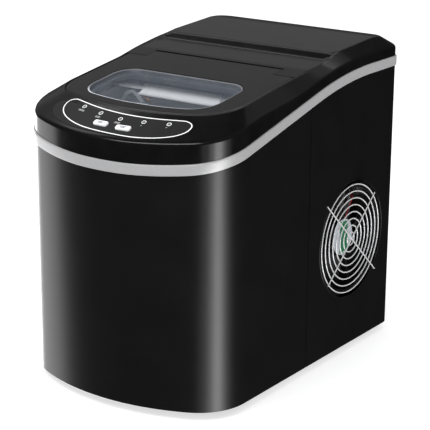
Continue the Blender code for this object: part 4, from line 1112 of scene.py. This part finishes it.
def make_panel(kit):
    make_film(kit)
    line = ribbon_on_slope(panel_loop(PANEL_LINE), panel_loop(-PANEL_LINE), FILM_TOP - 0.1, FILM_TOP + 0.12)
    kit.piece("panel_outline", line, "print", slot="white_plastic")

    rings = [framed(turned(LAMP_RING, (0, 0, FILM_TOP - 0.05), (0, 0, 1), 28), slope_frame(x, s))
             for x, s in LAMP_SPOTS]
    kit.piece("lamp_rings", merged(rings), "print", slot="white_plastic")

    for index, (x, s) in enumerate(LAMP_SPOTS, 1):
        lens = framed(turned(LAMP_LENS, (0, 0, 0), (0, 0, 1), 24), slope_frame(x, s))
        kit.piece(f"lamp_lens_{index}", lens, "lamp", nodes=(f"indicator_lens_{index}",))

    # Plain bars where the real panel has words.
    bars = []
    for (x, s), width, rows in zip(LAMP_SPOTS, LEGEND_WIDTHS, LEGEND_ROWS):
        for row in range(rows):
            bar = prism_data(pill(width / 2.0, 0.35, 0.34, 3), 0.0, 0.12)
            frame = slope_frame(x, s - 0.115 - 0.030 * row) @ Matrix.Translation((0.0, 0.0, FILM_TOP))
            bars.append(framed(bar, frame))
    kit.piece("panel_legend_bars", merged(bars), "legend", slot="white_plastic")

    long, wide, corner = BUTTON_CAP
    for name, (x, s) in zip(("power_button", "size_button"), BUTTON_SPOTS):
        frame = slope_frame(x, s)
        rings = [ring_at(pill(*BUTTON_STEM), height) for height in (-13.0, -2.0)]
        for inset, height in BUTTON_RINGS:
            rings.append(ring_at(pill(long - inset, wide - inset, max(corner - inset, 0.4)), height))
        cap = framed(lofted(rings, caps="flat"), frame)
        kit.piece(f"{name}_cap", cap, "white", name, (name,), angle=50.0)
        marks = []
        for length, row in BUTTON_MARKS:
            bar = rounded_box(-length / 2.0, row - 0.45, length / 2.0, row + 0.45, 0.40, 3)
            marks.append(prism_data(bar, 2.15, 2.30))
        kit.piece(f"{name}_mark", framed(merged(marks), frame), "mark", name, slot="white_plastic")

    kit.refined("control_board", "control_board_panel", "board", 0.2)


# ---------------------------------------------------------------- fan and guard

def on_circle(radius, angle):
    """Point (y, z) at a radius and an angle about the fan's middle."""
    return FAN_CENTRE[0] + radius * math.cos(angle), FAN_CENTRE[1] + radius * math.sin(angle)


def circle_path(radius, x, steps=96):
    return [(x, *on_circle(radius, 2.0 * math.pi * i / steps)) for i in range(steps)]


def make_fan(kit):
    y, z = FAN_CENTRE
    wires = []
    for k in range(GUARD_RINGS):
        ring = circle_path(GUARD_RADIUS - GUARD_PITCH * k, GUARD_FACE)
        wires.append(tube_data(ring, WIRE_RADIUS, 10, True))
    for angle, half in GUARD_BARS:
        steps = (-1.0, -0.5, 0.0, 0.5, 1.0)
        path = [(GUARD_BAR_FACE, *on_circle(half * t, math.radians(angle))) for t in steps]
        wires.append(tube_data(path, WIRE_RADIUS, 10))
    kit.piece("fan_guard_wires", merged(wires), "wire", nodes=("fan_guard",), angle=60.0)

    rim = tube_data(circle_path(FAN_HOLE_RADIUS + 0.6, RIM_FACE, 128), RIM_RADIUS, 12, True)
    kit.piece("fan_hole_rim", rim, "wrap", slot="gloss_black_steel", angle=60.0)

    kit.refined("fan_frame", "fan_frame_moulded", "fan", 0.6)

    rotor_low, rotor_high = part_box("fan_rotor")
    x0, x1 = rotor_low.x / MM, rotor_high.x / MM
    depth = x1 - x0
    hub_profile = ((0.0, 0.0), (17.5, 0.0), (19.3, 0.8), (19.5, 2.0), (19.5, depth - 3.0),
                   (18.6, depth - 1.6), (16.5, depth - 1.0), (0.0, depth - 0.8))
    hub = turned(hub_profile, (x0, y, z), (1, 0, 0), 56)
    blades = [blade_data(0.5 * (x0 + x1), 2.0 * math.pi * k / FAN_BLADES) for k in range(FAN_BLADES)]
    kit.piece("fan_rotor_blades", merged([hub, *blades]), "fan", "fan_rotor", ("fan_rotor",), angle=45.0)

    label = turned(LABEL_PROFILE, (FAN_HUB_FACE, y, z), (1, 0, 0), 56)
    kit.piece("fan_label", label, "label", slot="white_plastic")
    rings = [[(FAN_HUB_FACE + x, y + p, z + q) for p, q in LABEL_BAND] for x in (0.25, 0.42)]
    kit.piece("fan_label_band", lofted(rings, caps="flat"), "green", slot="board_green")
    left = y + LABEL_BAR_LEFT
    bars = []
    for row, length in enumerate(LABEL_BARS):
        foot = z + LABEL_BAR_TOP - LABEL_BAR_PITCH * row
        bars.append(((FAN_HUB_FACE + 0.25, left, foot),
                     (FAN_HUB_FACE + 0.4, left + length, foot + LABEL_BAR_HEIGHT)))
    kit.piece("fan_label_bars", box_data(bars), "legend", slot="white_plastic")
    lead = smooth_path([(FAN_HUB_FACE + out, y + p, z + q) for out, p, q in LEAD_KNOTS], 6)
    kit.piece("fan_lead_red", tube_data(lead, LEAD_RADIUS, 10), "red", slot="rubber", angle=60.0)


def blade_data(middle, turn):
    """Twisted blade from the hub to near the bore, its chord sweeping forward."""
    chord = (-1.0, -0.5, 0.0, 0.5, 1.0)
    data = bmesh.new()
    rows = []
    for i in range(9):
        t = i / 8.0
        radius = 18.5 + t * 34.0
        pitch = math.radians(44.0 - 20.0 * t)
        half = 8.0 + 3.0 * t
        sweep = 0.18 * t
        row = []
        for side, line in ((1.0, chord), (-1.0, chord[::-1])):
            for c in line:
                bend = 1.2 * (1.0 - c * c)
                thick = 0.8 * (1.0 - 0.75 * c * c)
                x = middle + c * half * math.sin(pitch) * 0.68 + side * thick * math.cos(pitch) - bend * 0.6
                along = c * half * math.cos(pitch) - side * thick * math.sin(pitch)
                row.append(data.verts.new((x, *on_circle(radius, turn + sweep + along / radius))))
        rows.append(row)
    for low, high in zip(rows, rows[1:]):
        bridged(data, low, high)
    data.faces.new(rows[0])
    data.faces.new(rows[-1])
    return facing_out(data)


def make_inside(kit):
    for node, name, material, width in INSIDE:
        kit.refined(node, name, material, width, 30.0 if width else 50.0)


# ---------------------------------------------------------------- stage, light and camera

def make_floor():
    data = bmesh.new()
    bmesh.ops.create_grid(data, x_segments=1, y_segments=1, size=FLOOR_SIZE / 2.0)
    bmesh.ops.translate(data, verts=data.verts[:], vec=(0.0, 0.0, FLOOR_Z))
    mesh = mesh_from("floor", data)
    mesh.materials.append(node_material("floor_pale", FLOOR_COLOURS, (0.75, 0.85), 6.0, 0.0, 18.0,
                                        specular=0.0, glow=FLOOR_GLOW))
    floor = linked("floor", mesh)
    floor.visible_glossy = False
    floor.visible_shadow = False


def background(tree, colour, strength):
    inputs = {"Color": colour, "Strength": strength}
    return add_node(tree, "ShaderNodeBackground", inputs).outputs["Background"]


def mixed(tree, share, first, second):
    return add_node(tree, "ShaderNodeMixShader", {"Fac": share, 1: first, 2: second}).outputs["Shader"]


def make_world():
    """White for the camera, an even fill for matt surfaces, and a darker studio for reflections."""
    world = bpy.data.worlds.new("studio")
    bpy.context.scene.world = world
    world.use_nodes = True
    tree = world.node_tree
    tree.nodes.clear()
    path = add_node(tree, "ShaderNodeLightPath", {})
    ray = add_node(tree, "ShaderNodeTexCoord", {}).outputs["Generated"]
    split = add_node(tree, "ShaderNodeSeparateXYZ", {"Vector": ray})
    height = map_range(tree, split.outputs["Z"], (-1.0, 1.0), (0.0, 1.0))
    ramp = add_node(tree, "ShaderNodeValToRGB", {"Fac": height})
    elements = ramp.color_ramp.elements
    while len(elements) < len(WORLD_STOPS):
        elements.new(0.5)
    for element, (position, value) in zip(elements, WORLD_STOPS):
        element.position = position
        element.color = (value, value, value, 1.0)

    # The far left quarter of the studio is the bright one, and the rest keeps a share of its light.
    level = add_node(tree, "ShaderNodeVectorMath", {0: ray, 1: (1.0, 1.0, 0.0)}, operation='MULTIPLY')
    unit = add_node(tree, "ShaderNodeVectorMath", {0: level.outputs["Vector"]}, operation='NORMALIZE')
    along = add_node(tree, "ShaderNodeVectorMath", {0: unit.outputs["Vector"], 1: WORLD_BRIGHT_SIDE},
                     operation='DOT_PRODUCT')
    share = map_range(tree, along.outputs["Value"], (WORLD_BRIGHT_FROM, WORLD_BRIGHT_TO),
                      (WORLD_DIM_SHARE, 1.0), interpolation_type='SMOOTHSTEP')

    glossy = background(tree, ramp.outputs["Color"], share)
    fill = background(tree, WORLD_FILL, 1.0)
    camera = background(tree, WORLD_WHITE, 1.0)
    inner = mixed(tree, path.outputs["Is Glossy Ray"], fill, glossy)
    outer = mixed(tree, path.outputs["Is Camera Ray"], inner, camera)
    add_node(tree, "ShaderNodeOutputWorld", {"Surface": outer})
    world.cycles.sampling_method = 'NONE'


def direction(azimuth, elevation):
    """Unit vector away from the machine; azimuth 0 is in front of it and 90 on its fan side."""
    a, e = math.radians(azimuth), math.radians(elevation)
    return Vector((math.sin(a) * math.cos(e), -math.cos(a) * math.cos(e), math.sin(e)))


def area_light(name, azimuth, elevation, width, height, power):
    """Soft box that faces the machine."""
    away = direction(azimuth, elevation)
    light = bpy.data.lights.new(name, 'AREA')
    light.shape = 'RECTANGLE'
    light.size = width
    light.size_y = height
    light.energy = power
    obj = linked(name, light)
    obj.location = Vector(LIGHT_TARGET) + away * LIGHT_DISTANCE
    obj.rotation_euler = away.to_track_quat('Z', 'Y').to_euler()
    return obj


def make_studio():
    """Floor, world and soft boxes; the key isn't mirrored, and the edge light is only mirrored."""
    make_floor()
    make_world()
    lights = {row[0]: area_light(*row) for row in LIGHTS}
    lights["key"].visible_glossy = False
    lights["edge_light"].visible_diffuse = False


def make_camera():
    back = direction(VIEW_AZIMUTH, VIEW_ELEVATION)
    r = math.radians(VIEW_ROLL)
    right = (-back).cross(Vector((0.0, 0.0, 1.0))).normalized()
    up = right.cross(-back)
    right, up = math.cos(r) * right + math.sin(r) * up, math.cos(r) * up - math.sin(r) * right
    target = Vector(VIEW_TARGET) + right * VIEW_OFFSET[0] + up * VIEW_OFFSET[1]
    data = bpy.data.cameras.new("view")
    data.lens = VIEW_LENS
    data.sensor_width = VIEW_SENSOR
    data.clip_start = 0.05
    data.clip_end = 50.0
    camera = linked("view", data)
    matrix = Matrix((right, up, back)).transposed().to_4x4()
    matrix.translation = target + back * VIEW_DISTANCE
    camera.matrix_world = matrix
    bpy.context.scene.camera = camera


def main():
    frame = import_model()
    kit = Kit(frame)
    make_camera()
    make_studio()
    make_wraps(kit)
    make_band(kit)
    make_base(kit)
    make_top_housing(kit)
    make_lid(kit)
    make_panel(kit)
    make_fan(kit)
    make_inside(kit)
    view = bpy.context.scene.view_settings
    view.view_transform = 'Standard'
    view.look = 'None'


main()
